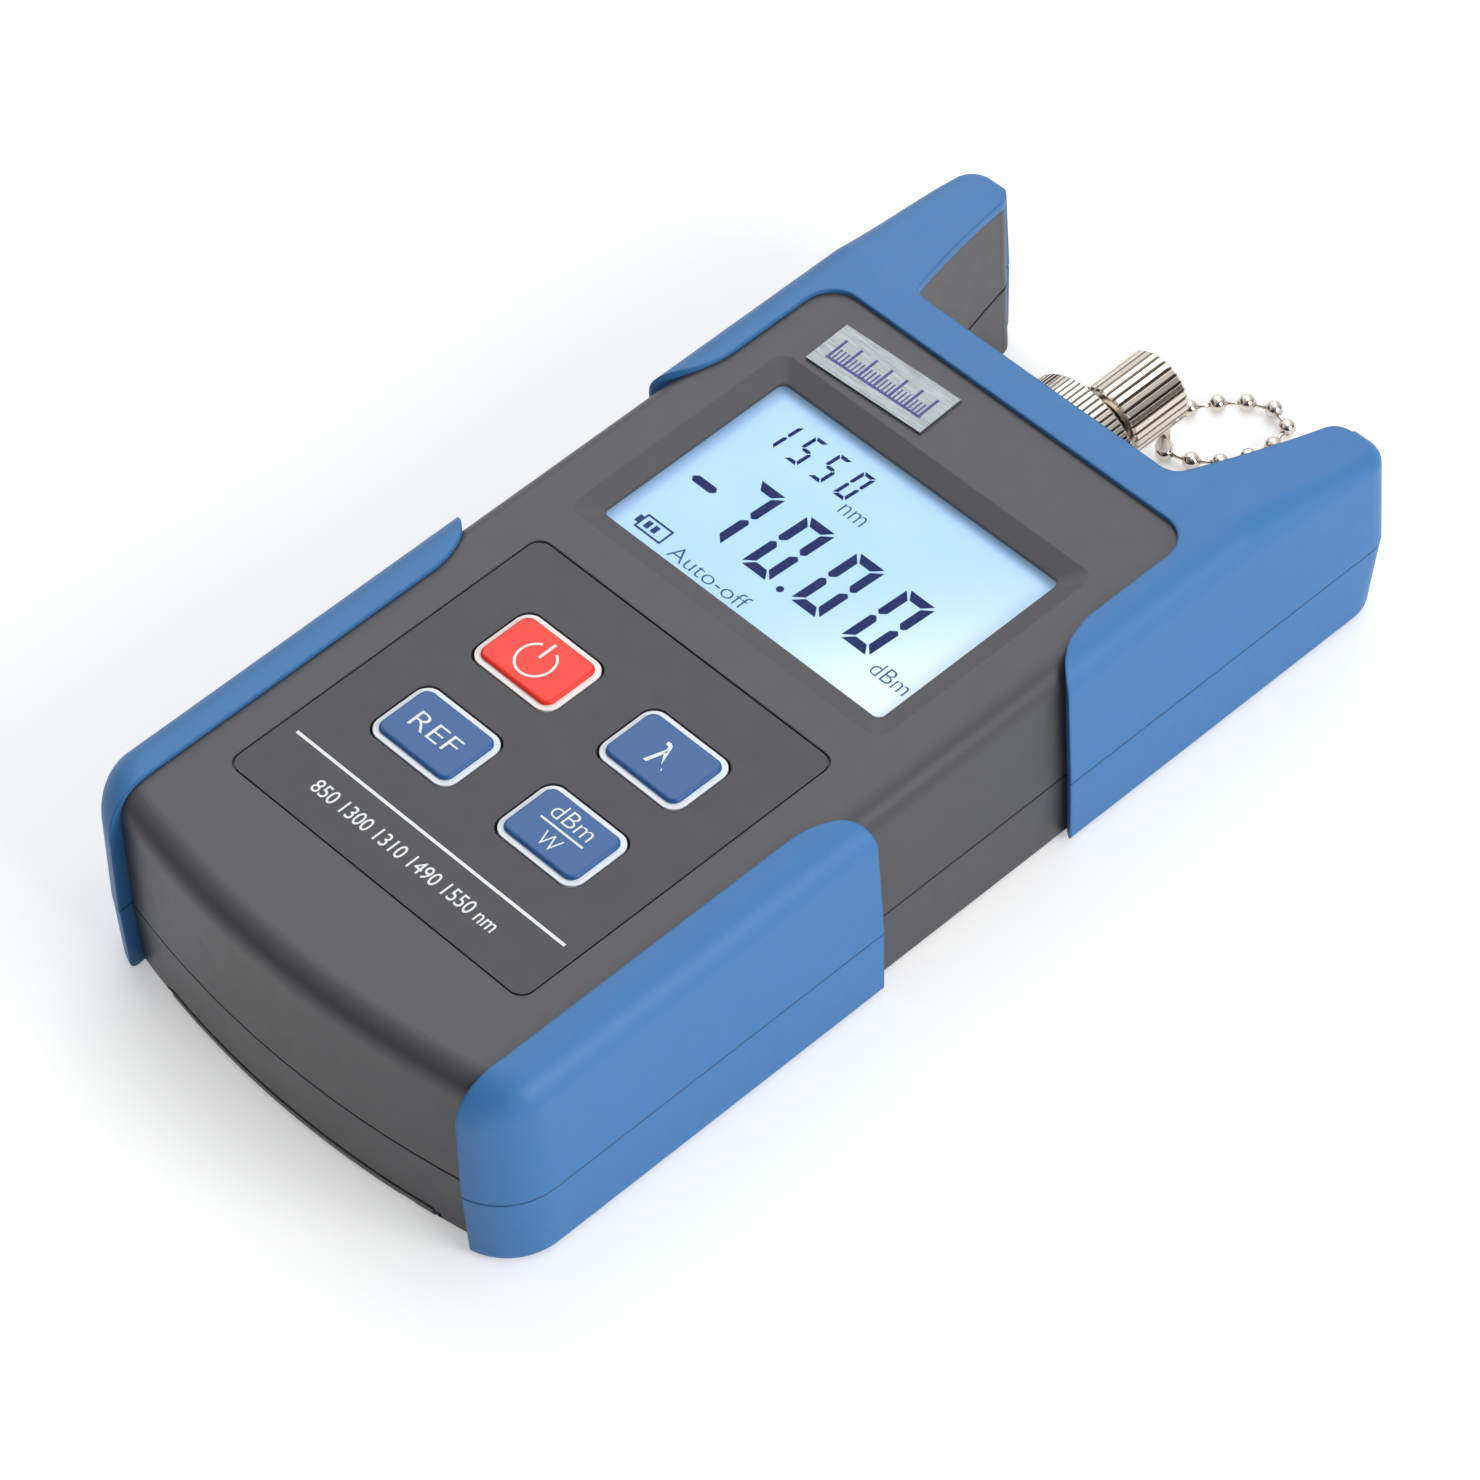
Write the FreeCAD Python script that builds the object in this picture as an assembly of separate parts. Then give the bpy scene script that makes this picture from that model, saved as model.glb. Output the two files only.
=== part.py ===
import FreeCAD, Part
import math
import os
from FreeCAD import Vector

# Handheld optical power meter. Millimetres, +Z up out of the keypad face, +Y towards the
# fibre port. The origin is the centre of the flat back that the meter rests on.

# ---- housing ----
HALF_WIDTH = 40.2            # grey housing at the parting line, half of its width
HEIGHT = 34.3                # top face above the resting face
PARTING_Z = 13.3             # where the upper and lower shells meet
HORN_TIP_Y = 85.8            # front faces of the two horns
END_APEX_Y = -85.5           # middle of the bowed end wall
END_RADIUS = 165.0           # plan radius of the bowed end wall
CORNER_RADIUS = 7.8          # plan corners beside the end wall
TIP_RADIUS = 2.8             # plan corners of the horn tips
FOOT_TIP_RADIUS = 6.0        # the same at the resting face
SIDE_ROUNDING = 4.0          # rounding of the top face along the sides
END_ROUNDING = 6.6           # the same along the bowed end
TIP_ROUNDING = 1.8           # the same at the horn tips
BASE_FILLET = 1.4            # rounding round the resting face
UPPER_DRAFT = 0.5            # how far the upper wall leans in over its height
LOWER_DRAFT = 0.4            # the same for the lower wall
SHELL_STEP = 0.05            # the lower shell stands back from the upper one
WALL = 2.2                   # side walls under the soft skins
ROOF = 2.4                   # thickness of the top face
FLOOR = 2.4                  # thickness of the resting face
CLEAR = 0.3                  # gap round pieces that move or drop in

# ---- horns and the bay between them ----
BEND_Y = HORN_TIP_Y - 26.6   # the top face starts to fall here
HORN_TIP_Z = HEIGHT - 4.6    # top face height at the horn tips
BEND_RADIUS = 10.0
BAY_Y = HORN_TIP_Y - 26.4    # front wall that carries the port
BAY_HALF = HALF_WIDTH - 14.8         # half width of the bay at that wall
BAY_MID_HALF = HALF_WIDTH - 10.8     # half width midway along the horns
BAY_TIP_HALF = HALF_WIDTH - 8.4      # half width just behind the horn tips
BAY_LEAD = 3.0               # rounding of the horns' inner front corners
BAY_CORNER = 3.0

# ---- soft skins ----
CROWN_PROUD = 1.8            # how far the crown and the horn skins stand out of the walls
GRIP_PROUD = 2.3             # the same for the side grips
SKIN_LIFT = 0.7              # how far the skins stand out of the top face
SKIN_SUNK = 0.9              # how deep their seats are
SKIN_FOOT = 0.3              # the skins clear the table by this much
SKIN_SEAM = 0.3              # gap between the upper and lower skins
SEAM = (0.5, 0.8)            # height and depth of the groove between the shells
ARM_X = HALF_WIDTH - 4.6     # inner edge of the crown's arms
CROWN_Y = BAY_Y - 6.4        # inner edge of the crown's bar
CROWN_CORNER = 5.0
ARM_END_Y = 21.0             # where the arms end on the side walls
GRIP_X = HALF_WIDTH - 5.0    # inner edge of the side grips
GRIP_FAR_Y = -14.0
GRIP_WRAP_X = HALF_WIDTH - 5.6       # how far the grips wrap onto the end wall
LOWER_HORN_X = HALF_WIDTH - 7.0      # inner edge of the lower horn skins

# ---- display ----
VIEW_HALF = HALF_WIDTH - 12.8        # half width of the visible glass
VIEW_Y = (0.6, 35.4)
BEVEL = 3.4                  # width of the sloping surround
BEVEL_DEPTH = 1.2
VIEW_CORNER = 1.2
VIEW_LEDGE = 0.5             # thickness of the roof's lip over the window
WINDOW_LIP = 2.6             # how far the window reaches under the roof
WINDOW_THICK = 1.0
GLASS_THICK = 1.8
STACK_PLAY = 0.05            # slack between the window, the glass, the light guide and the board
FRAME_WALL = 1.1
STRIP_WIDTH = 1.4            # rubber contact strips along the glass

# ---- keypad ----
PANEL_HALF = HALF_WIDTH - 10.7
PANEL_Y = (-66.8, -9.2)
PANEL_CORNER = 2.2
PANEL_THICK = 0.45
PANEL_SINK = 0.5
PANEL_PLAY = 0.25            # gap round the panel
KEY_X = 12.5
KEY_ROWS = (-25.2, -43.8)
KEY_SIZE = (16.0, 11.5)
KEY_CORNER = 2.4
KEY_BORDER = 0.85            # rim round the raised pad of a key
KEY_RISE = 0.7
KEY_TRAVEL = 0.5
KEY_FLANGE = 0.9             # retaining flange, beyond the key's sides and in thickness
STEM_RADIUS = 1.8

# ---- badge ----
BADGE_SIZE = (22.0, 8.5)
BADGE_CENTRE = (-16.6, 44.6)
BADGE_TURN = 2.4
BADGE_THICK = 0.4

# ---- circuit board ----
BOARD_TOP = HEIGHT - ROOF - 7.0
BOARD_THICK = 1.6
BOARD_HALF = HALF_WIDTH - 9.6
BOARD_Y = (END_APEX_Y + 14.2, BAY_Y - 8.4)
SWITCH_SIZE = 6.0
SWITCH_HEIGHT = 3.1
PLUNGER_RADIUS = 1.7
BOARD_SCREW_X = BOARD_HALF - 5.1
BOARD_SCREW_PLACES = [(x, y) for x in (-BOARD_SCREW_X, BOARD_SCREW_X)
                      for y in (BOARD_Y[0] + 2.0, BOARD_Y[1] - 5.5)]
BOSS_RADIUS = 2.6
PILOT_RADIUS = 1.3
SCREW_RADIUS = 1.1
SCREW_HEAD = (2.1, 1.4)      # radius and height
# Chips as centre x and y, half width, half depth and thickness.
CHIPS_ABOVE = [(0.0, BOARD_Y[0] + 15.0, 5.0, 4.0, 1.5), (0.0, sum(KEY_ROWS) / 2 + 2.0, 3.0, 2.0, 1.4)]
CHIPS_BELOW = [(0.0, sum(VIEW_Y) / 2 - 3.0, 7.0, 7.0, 1.6), (13.0, BOARD_Y[1] - 12.5, 3.0, 2.5, 1.4)]
SCREW_BITE = 5.0             # how deep a board screw reaches into its boss

# ---- housing screws ----
CASE_SCREW_X = HALF_WIDTH - 7.2
CASE_SCREW_PLACES = [(x, y) for x in (-CASE_SCREW_X, CASE_SCREW_X)
                     for y in (END_APEX_Y + 19.2, BAY_Y - 18.4)]
CASE_BOSS_RADIUS = 3.2
CASE_HEAD = (2.7, 2.2)
CASE_BORE_RADIUS = 3.0
CASE_BORE_DEPTH = 5.0
CASE_HOLE_RADIUS = 1.6
CASE_SCREW_LENGTH = 16.0

# ---- batteries ----
CELL_RADIUS = 7.1
CELL_LENGTH = 50.0
CELL_EDGE = 0.6
CELL_GAP = 0.4
NIPPLE = (2.6, 1.0)
CELL_COUNT = 3
BOX_WALL = 1.6
CONTACT_THICK = 0.4
SPRING_LENGTH = 3.2
BOX_END_Y = -22.5            # inner end of the battery box, nearest the display

# ---- battery cover ----
COVER_HALF = HALF_WIDTH - 13.6
COVER_THICK = 2.1
COVER_END_Y = -20.5          # inner end of the cover
COVER_PROUD = 0.12           # how far it stands out of the end wall
RAIL = (1.1, 0.8)            # reach and thickness of its side tongues
RAIL_Z = 0.9
DECK = 1.6                   # ledge over the cover that joins the battery box to the floor
GROOVES = 6

# ---- fibre port ----
PORT_Z = 16.4
FLANGE = (9.8, 2.1)          # radius and thickness of the flange behind the wall
NECK_RADIUS = 7.0
RING_RADIUS = 11.1
RING_FRONT_Y = BAY_Y + 10.2
RING_BEVEL = (2.4, 1.6)      # polished cone in front of the ribs: fall in radius, length
RING_BACK_EDGE = 0.7
RING_RIBS = 72
THREAD_PLAY = 0.05
RING_RIB_DEPTH = 0.35
BARREL_RADIUS = 4.0
BARREL_TIP_Y = BAY_Y + 22.0
BARREL_WALL = 0.8
SLEEVE_RADIUS = 2.0
FERRULE_RADIUS = 1.26        # bore for a 2.5 mm ferrule
FERRULE_DEPTH = 10.0
BARREL_WELL = 7.0            # depth of the annular space round the sleeve
KEYWAY = (2.2, 3.6)
DETECTOR_CAN = (2.3, 3.4)
DETECTOR_RIM = (2.75, 0.6)

# ---- dust cap and its tether ----
CAP_RADIUS = 6.0
CAP_OVERLAP = 9.0            # how far the cap reaches back over the barrel
CAP_RIBS = 30
CAP_RIB_DEPTH = 0.5
CAP_EDGES = (0.3, 0.8)       # chamfers of the open and the closed end
CAP_END = 1.4                # thickness of the closed end
CAP_SEAL = 0.8
CAP_PLAY = 0.1               # between the seal and the barrel's tip
BOSS_NECK = (1.3, 1.1)
BOSS_HEAD = (2.5, 0.7)
LUG_THICK = 0.5
LUG_RADIUS = 3.1
LUG_WIDTH = 2.0
COUPLING = (1.1, 2.2)        # radius and length of the cup that grips an end ball
WASHER_THICK = 0.6
WASHER_RADIUS = 9.2
ANCHOR_X = -4.0              # where the tether's fixed end hangs
COUPLING_PLAY = 0.45         # between the washer's tongue and the fixed end's cup
LUG_TONGUE_DROP = 1.0        # the cap tongue's upper end lies this far under the port's axis
WASHER_TONGUE_DROP = 7.0     # the same for the washer's tongue
PUNCH = (9.0, 3.0)           # length of a hole's cutting cylinder, and its start before the plate
BALL_RADIUS = 1.35
BALL_PITCH = 4.3
BALL_SIDES = 10
BALL_BANDS = 6
LINK_RADIUS = 0.35
# Way of the tether over the table, from under the cap's tip round to the port's foot.
TETHER = [
    (-0.2, 85.0), (3.6, 85.6), (7.0, 88.2), (9.4, 92.2), (10.4, 96.6), (9.4, 100.2),
    (5.4, 101.6), (1.2, 99.4), (-1.9, 95.8), (-5.2, 90.0), (-7.6, 83.0), (-8.4, 75.0),
    (-7.2, 67.2), (ANCHOR_X, BAY_Y + WASHER_THICK),
]

ROOF_UNDER = HEIGHT - ROOF
WINDOW_TOP = HEIGHT - BEVEL_DEPTH - VIEW_LEDGE
SWITCH_TOP = BOARD_TOP + SWITCH_HEIGHT
Y_AXIS = Vector(0, 1, 0)
Z_AXIS = Vector(0, 0, 1)
FAR = 130.0                  # beyond every face of the meter
SMALLEST_CORNER = 0.4


def save(node, shape):
    """Write one sub-part."""
    shape.exportStep("parts/" + node + ".step")


def box(x, y, z):
    """Box from three (low, high) pairs."""
    corner = Vector(x[0], y[0], z[0])
    return Part.makeBox(x[1] - x[0], y[1] - y[0], z[1] - z[0], corner)


def post(x, y, low, high, radius):
    """Upright cylinder."""
    return Part.makeCylinder(radius, high - low, Vector(x, y, low), Z_AXIS)


def port_turning(profile):
    """Solid turned about the port's axis from (radius, y) points."""
    points = [Vector(r, y, PORT_Z) for r, y in profile]
    face = Part.Face(Part.makePolygon(points + points[:1]))
    return face.revolve(Vector(0, 0, PORT_Z), Y_AXIS, 360)


def rounded_plate(half_x, y, z, radius):
    """Plate with rounded plan corners."""
    plate = box((-half_x, half_x), y, z)
    upright = [e for e in plate.Edges if abs(e.tangentAt(e.FirstParameter).z) > 0.9]
    return plate.makeFillet(radius, upright)


def rounded_rect_wire(half_x, half_y, radius, centre, z):
    """Closed wire of four sides and four quarter arcs."""
    plate = box((centre[0] - half_x, centre[0] + half_x),
                (centre[1] - half_y, centre[1] + half_y), (z, z + 1))
    upright = [e for e in plate.Edges if abs(e.tangentAt(e.FirstParameter).z) > 0.9]
    rounded = plate.makeFillet(radius, upright)
    low = min(rounded.Faces, key=lambda f: f.CenterOfMass.z)
    return low.OuterWire


# ---- the housing's outer form ----

def outline(grow, z, tip_radius=TIP_RADIUS):
    """Plan outline of the housing, without its bay, moved out by grow."""
    half = HALF_WIDTH + grow
    tip = HORN_TIP_Y + grow
    corner = CORNER_RADIUS + grow
    tip_corner = max(tip_radius + grow, SMALLEST_CORNER)
    end_centre = END_APEX_Y + END_RADIUS
    reach = END_RADIUS - CORNER_RADIUS
    corner_x = HALF_WIDTH - CORNER_RADIUS
    corner_y = end_centre - math.sqrt(reach ** 2 - corner_x ** 2)
    lean = math.asin(corner_x / reach)
    end_x = (END_RADIUS + grow) * math.sin(lean)
    end_y = end_centre - (END_RADIUS + grow) * math.cos(lean)
    half_lean = lean / 2
    mid = Vector(corner_x + corner * math.sin(half_lean + math.pi / 4),
                 corner_y - corner * math.cos(half_lean + math.pi / 4), z)
    tip_x = half - tip_corner
    tip_y = tip - tip_corner
    diagonal = tip_corner * math.sqrt(0.5)

    def at(x, y):
        return Vector(x, y, z)

    edges = [
        Part.LineSegment(at(-half, corner_y), at(-half, tip_y)),
        Part.Arc(at(-half, tip_y), at(-tip_x - diagonal, tip_y + diagonal), at(-tip_x, tip)),
        Part.LineSegment(at(-tip_x, tip), at(tip_x, tip)),
        Part.Arc(at(tip_x, tip), at(tip_x + diagonal, tip_y + diagonal), at(half, tip_y)),
        Part.LineSegment(at(half, tip_y), at(half, corner_y)),
        Part.Arc(at(half, corner_y), mid, at(end_x, end_y)),
        Part.Arc(at(end_x, end_y), at(0, END_APEX_Y - grow), at(-end_x, end_y)),
        Part.Arc(at(-end_x, end_y), Vector(-mid.x, mid.y, z), at(-half, corner_y)),
    ]
    return Part.Wire([e.toShape() for e in edges])


def fall_angle():
    """Angle by which the top face falls along the horns."""
    return math.atan2(HEIGHT - HORN_TIP_Z, HORN_TIP_Y - BEND_Y)


def top_profile(lift):
    """Everything under the top face: level, then bending down over the horns."""
    fall = fall_angle()
    top = HEIGHT + lift
    tangent = BEND_RADIUS * math.tan(fall / 2)
    centre = Vector(0, BEND_Y - tangent, top - BEND_RADIUS)

    def on_bend(angle):
        return centre + Vector(0, BEND_RADIUS * math.sin(angle), BEND_RADIUS * math.cos(angle))

    start, middle, end = (on_bend(a) for a in (0, fall / 2, fall))
    drop = (FAR - end.y) * math.tan(fall)
    far_top = Vector(0, FAR, end.z - drop)
    edges = [
        Part.LineSegment(Vector(0, -FAR, top), start),
        Part.Arc(start, middle, end),
        Part.LineSegment(end, far_top),
        Part.LineSegment(far_top, Vector(0, FAR, -FAR)),
        Part.LineSegment(Vector(0, FAR, -FAR), Vector(0, -FAR, -FAR)),
        Part.LineSegment(Vector(0, -FAR, -FAR), Vector(0, -FAR, top)),
    ]
    face = Part.Face(Part.Wire([e.toShape() for e in edges]))
    face.translate(Vector(-FAR, 0, 0))
    return face.extrude(Vector(2 * FAR, 0, 0))


def rounding(y):
    """Radius of the top face's rounding at a place along the meter."""
    if y < END_APEX_Y + CORNER_RADIUS / 2:
        return END_ROUNDING
    if y > HORN_TIP_Y - 2 * TIP_RADIUS:
        return TIP_ROUNDING
    return SIDE_ROUNDING


def upper_form(grow, lift, rounded=True):
    """Upper half of the outer form, drafted and rounded, still without its bay."""
    high = HEIGHT + 4
    lean = UPPER_DRAFT * (high - PARTING_Z) / (HEIGHT - PARTING_Z)
    sections = [outline(grow, PARTING_Z), outline(grow - lean, high)]
    solid = Part.makeLoft(sections, True, True).common(top_profile(lift))
    if not rounded:
        return solid
    rim = []
    for number, edge in enumerate(solid.Edges, 1):
        centre = edge.BoundBox.Center
        across = edge.BoundBox.XLength > 20 and abs(centre.y - BEND_Y) < BEND_RADIUS
        upright = edge.BoundBox.ZLength > 10
        if centre.z > PARTING_Z + 5 and not across and not upright:
            start, end = (edge.valueAt(p).y for p in (edge.FirstParameter, edge.LastParameter))
            rim.append((number, rounding(start) + lift, rounding(end) + lift))
    sheet = FreeCAD.newDocument()
    plain = sheet.addObject("Part::Feature", "plain")
    plain.Shape = solid
    eased = sheet.addObject("Part::Fillet", "eased")
    eased.Base = plain
    eased.Edges = rim
    sheet.recompute()
    made = eased.Shape.copy()
    FreeCAD.closeDocument(sheet.Name)
    return made


def lower_form(grow, base_z, fillet):
    """Lower half of the outer form, from base_z to the parting line."""
    sections = [outline(grow - SHELL_STEP - LOWER_DRAFT, base_z, FOOT_TIP_RADIUS),
                outline(grow - SHELL_STEP, PARTING_Z)]
    solid = Part.makeLoft(sections, True, True)
    if fillet <= 0:
        return solid
    rim = [e for e in solid.Edges if e.BoundBox.ZMax < base_z + 0.01]
    return solid.makeFillet(fillet, rim)


def bay(grow):
    """Space between the horns, flared towards their tips, widened by grow."""
    wall_y = BAY_Y - grow
    mid_y = (BAY_Y + HORN_TIP_Y) / 2

    def arc(side):
        return Part.Arc(Vector(side * (BAY_HALF + grow), wall_y, -5),
                        Vector(side * (BAY_MID_HALF + grow), mid_y, -5),
                        Vector(side * (BAY_TIP_HALF + grow), HORN_TIP_Y - BAY_LEAD, -5))

    def lead(side):
        start = BAY_TIP_HALF + grow
        return Part.Arc(Vector(side * start, HORN_TIP_Y - BAY_LEAD, -5),
                        Vector(side * (start + 0.36 * BAY_LEAD), HORN_TIP_Y - 0.24 * BAY_LEAD, -5),
                        Vector(side * (start + BAY_LEAD), HORN_TIP_Y + 0.05, -5))

    right, left = arc(1), arc(-1)
    lead_right, lead_left = lead(1), lead(-1)
    out_right = Vector(lead_right.EndPoint.x, FAR, -5)
    out_left = Vector(lead_left.EndPoint.x, FAR, -5)
    edges = [
        Part.LineSegment(left.StartPoint, right.StartPoint), right, lead_right,
        Part.LineSegment(lead_right.EndPoint, out_right),
        Part.LineSegment(out_right, out_left),
        Part.LineSegment(out_left, lead_left.EndPoint), lead_left, left,
    ]
    prism = Part.Face(Part.Wire(Part.__sortEdges__([e.toShape() for e in edges])))
    prism = prism.extrude(Vector(0, 0, HEIGHT + 20))
    corners = [e for e in prism.Edges
               if e.BoundBox.ZLength > HEIGHT and e.BoundBox.Center.y < wall_y + 1]
    return prism.makeFillet(BAY_CORNER, corners)


# ---- where the soft skins lie ----

def curve(points):
    """Smooth curve through plan points."""
    spline = Part.BSplineCurve()
    spline.interpolate([Vector(x, y, -5) for x, y in points])
    return spline.toShape()


def prism_of(edges):
    """Tall prism over a closed plan outline."""
    wire = Part.Wire(Part.__sortEdges__(edges))
    return Part.Face(wire).extrude(Vector(0, 0, HEIGHT + 20))


def lines(*points):
    """Straight plan edges through the points."""
    spots = [Vector(x, y, -5) for x, y in points]
    return [Part.makeLine(a, b) for a, b in zip(spots, spots[1:])]


def crown_region():
    """Plan of the crown skin: bar across the top and two arms with swept ends."""
    out = HALF_WIDTH + 8

    def arm_end(side):
        return curve([(side * ARM_X, ARM_END_Y + 14), (side * (ARM_X + 0.5), ARM_END_Y + 9),
                      (side * (ARM_X + 2.4), ARM_END_Y + 4.8), (side * (HALF_WIDTH + 0.4), ARM_END_Y + 2.2),
                      (side * out, ARM_END_Y + 1.6)])

    def corner(side):
        inner = ARM_X - CROWN_CORNER
        low = CROWN_Y - CROWN_CORNER
        bend = CROWN_CORNER * math.sqrt(0.5)
        return Part.Arc(Vector(side * ARM_X, low, -5),
                        Vector(side * (inner + bend), low + bend, -5),
                        Vector(side * inner, CROWN_Y, -5)).toShape()

    inner = ARM_X - CROWN_CORNER
    low = CROWN_Y - CROWN_CORNER
    edges = [arm_end(1), arm_end(-1), corner(1), corner(-1)]
    edges += lines((ARM_X, ARM_END_Y + 14), (ARM_X, low))
    edges += lines((-ARM_X, ARM_END_Y + 14), (-ARM_X, low))
    edges += lines((-inner, CROWN_Y), (inner, CROWN_Y))
    edges += lines((out, ARM_END_Y + 1.6), (out, FAR), (-out, FAR), (-out, ARM_END_Y + 1.6))
    return prism_of(edges)


def grip_region(side):
    """Plan of one side grip, wrapping the corner beside the end wall."""
    out = HALF_WIDTH + 8
    far = [(out, GRIP_FAR_Y + 0.4), (HALF_WIDTH + 1, GRIP_FAR_Y - 0.2),
           (HALF_WIDTH - 2, GRIP_FAR_Y - 1.8), (GRIP_X + 0.9, GRIP_FAR_Y - 5),
           (GRIP_X, GRIP_FAR_Y - 10)]
    near = [(GRIP_X, END_APEX_Y + 12), (GRIP_X - 0.1, END_APEX_Y + 8),
            (GRIP_WRAP_X + 0.2, END_APEX_Y + 3), (GRIP_WRAP_X, END_APEX_Y - 5)]

    def flip(points):
        return [(side * x, y) for x, y in points]

    edges = [curve(flip(far)), curve(flip(near))]
    edges += lines(*flip([far[-1], near[0]]))
    edges += lines(*flip([near[-1], (out, END_APEX_Y - 5), far[0]]))
    return prism_of(edges)


def skins():
    """The soft skins of both shells, by node name."""
    cut = bay(0)
    core = upper_form(-SKIN_SUNK, -SKIN_SUNK).cut(cut)
    seat = lower_form(-SKIN_SUNK, SKIN_FOOT + SKIN_SUNK, BASE_FILLET - SKIN_SUNK).cut(cut)
    under_seam = box((-FAR, FAR), (-FAR, FAR), (0, PARTING_Z - SKIN_SEAM))

    def coats(proud):
        over = upper_form(proud, SKIN_LIFT).cut(cut).cut(core)
        under = lower_form(proud, SKIN_FOOT, BASE_FILLET).cut(cut).cut(seat)
        return over, under.common(under_seam)

    crown = crown_region()
    upper, horns = coats(CROWN_PROUD)
    made = {"crown_bumper": upper.common(crown)}
    upper, lower = coats(GRIP_PROUD)
    for name, side in (("left", -1), ("right", 1)):
        region = grip_region(side)
        made["grip_upper_" + name] = upper.common(region)
        made["grip_lower_" + name] = lower.common(region)
        span = sorted((side * LOWER_HORN_X, side * FAR))
        horn = crown.common(box(span, (0, FAR), (-5, HEIGHT)))
        made["horn_lower_" + name] = horns.common(horn)
    return made


# ---- shells ----

def port_hole():
    """Hole for the port's neck through the bay wall."""
    return Part.makeCylinder(NECK_RADIUS + CLEAR, 20, Vector(0, BAY_Y - 10, PORT_Z), Y_AXIS)


def key_places():
    """Key names and centres."""
    names = ("power", "reference", "wavelength", "unit")
    spots = [(-KEY_X, KEY_ROWS[0]), (-KEY_X, KEY_ROWS[1]), (KEY_X, KEY_ROWS[0]), (KEY_X, KEY_ROWS[1])]
    return list(zip(names, spots))


def key_block(centre, grow, low, high, corner=KEY_CORNER):
    """Upright block of a key's outline, grown all round."""
    wire = rounded_rect_wire(KEY_SIZE[0] / 2 + grow, KEY_SIZE[1] / 2 + grow, corner, centre, low)
    return Part.Face(wire).extrude(Vector(0, 0, high - low))


def display_slab(grow, low, high):
    """Block over the visible glass, grown all round."""
    return box((-VIEW_HALF - grow, VIEW_HALF + grow), (VIEW_Y[0] - grow, VIEW_Y[1] + grow), (low, high))


def display_cut():
    """Sloping surround down to the visible glass, open through the roof."""
    middle = (0, (VIEW_Y[0] + VIEW_Y[1]) / 2)
    half_y = (VIEW_Y[1] - VIEW_Y[0]) / 2
    rims = [
        rounded_rect_wire(VIEW_HALF + BEVEL, half_y + BEVEL, VIEW_CORNER + 1, middle, HEIGHT),
        rounded_rect_wire(VIEW_HALF, half_y, VIEW_CORNER, middle, HEIGHT - BEVEL_DEPTH),
    ]
    slope = Part.makeLoft(rims, True, True)
    well = Part.Face(rims[1]).extrude(Vector(0, 0, -ROOF))
    return [slope, well, display_slab(WINDOW_LIP + CLEAR / 2, ROOF_UNDER - 1, WINDOW_TOP)]


def eased_hollow(inset):
    """Space whose top is chamfered along the sides and the end, to keep the walls thick there."""
    half = HALF_WIDTH + inset
    side = SIDE_ROUNDING / 2
    end = END_ROUNDING * 0.6
    end_y = END_APEX_Y - inset
    across = [Vector(x, -FAR, z) for x, z in (
        (-half, 0), (half, 0), (half, ROOF_UNDER - side), (half - side, ROOF_UNDER),
        (side - half, ROOF_UNDER), (-half, ROOF_UNDER - side))]
    along = [Vector(-FAR, y, z) for y, z in (
        (end_y, 0), (FAR, 0), (FAR, ROOF_UNDER), (end_y + end, ROOF_UNDER), (end_y, ROOF_UNDER - end))]
    first = Part.Face(Part.makePolygon(across + across[:1])).extrude(Vector(0, 2 * FAR, 0))
    second = Part.Face(Part.makePolygon(along + along[:1])).extrude(Vector(2 * FAR, 0, 0))
    return first.common(second)


def upper_shell(skin):
    """Top moulding with its roof, walls, bosses and openings."""
    inset = -(SKIN_SUNK + WALL)
    hollow = upper_form(inset, -ROOF, False).cut(bay(WALL)).common(eased_hollow(inset))
    under_top = box((-FAR, FAR), (-FAR, BAY_Y), (0, ROOF_UNDER))
    shell = upper_form(0, 0).cut(bay(0)).cut(hollow)
    bosses = [post(x, y, PARTING_Z, ROOF_UNDER + 0.5, CASE_BOSS_RADIUS) for x, y in CASE_SCREW_PLACES]
    bosses += [post(x, y, BOARD_TOP, ROOF_UNDER + 0.5, BOSS_RADIUS) for x, y in BOARD_SCREW_PLACES]
    shell = shell.fuse([b.common(under_top.fuse(shell)) for b in bosses])
    cuts = display_cut() + [port_hole()]
    cuts += [post(x, y, PARTING_Z - 1, PARTING_Z + CASE_SCREW_LENGTH, PILOT_RADIUS)
             for x, y in CASE_SCREW_PLACES]
    cuts += [post(x, y, BOARD_TOP - 1, BOARD_TOP + SCREW_BITE + 0.5, PILOT_RADIUS) for x, y in BOARD_SCREW_PLACES]
    cuts += [rounded_plate(PANEL_HALF, PANEL_Y, (HEIGHT - PANEL_SINK, HEIGHT + 1), PANEL_CORNER)]
    cuts += [key_block(spot, CLEAR, ROOF_UNDER - 1, HEIGHT + 1) for _, spot in key_places()]
    return shell.cut(cuts + skin)


def battery_box_size():
    """Inner half width, inner y span and inner top of the battery box."""
    half = CELL_COUNT * (CELL_RADIUS + CELL_GAP / 2) + CELL_GAP / 2
    length = CELL_LENGTH + NIPPLE[1] + SPRING_LENGTH + 2 * CONTACT_THICK
    top = cell_z() + CELL_RADIUS + CELL_GAP
    return half, (BOX_END_Y - length, BOX_END_Y), top


def cell_z():
    """Height of the cells' axes."""
    return COVER_THICK + CLEAR + CELL_GAP + CELL_RADIUS


def cell_places():
    """Across-the-meter places of the cells."""
    pitch = 2 * CELL_RADIUS + CELL_GAP
    return [(i - (CELL_COUNT - 1) / 2) * pitch for i in range(CELL_COUNT)]


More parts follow.
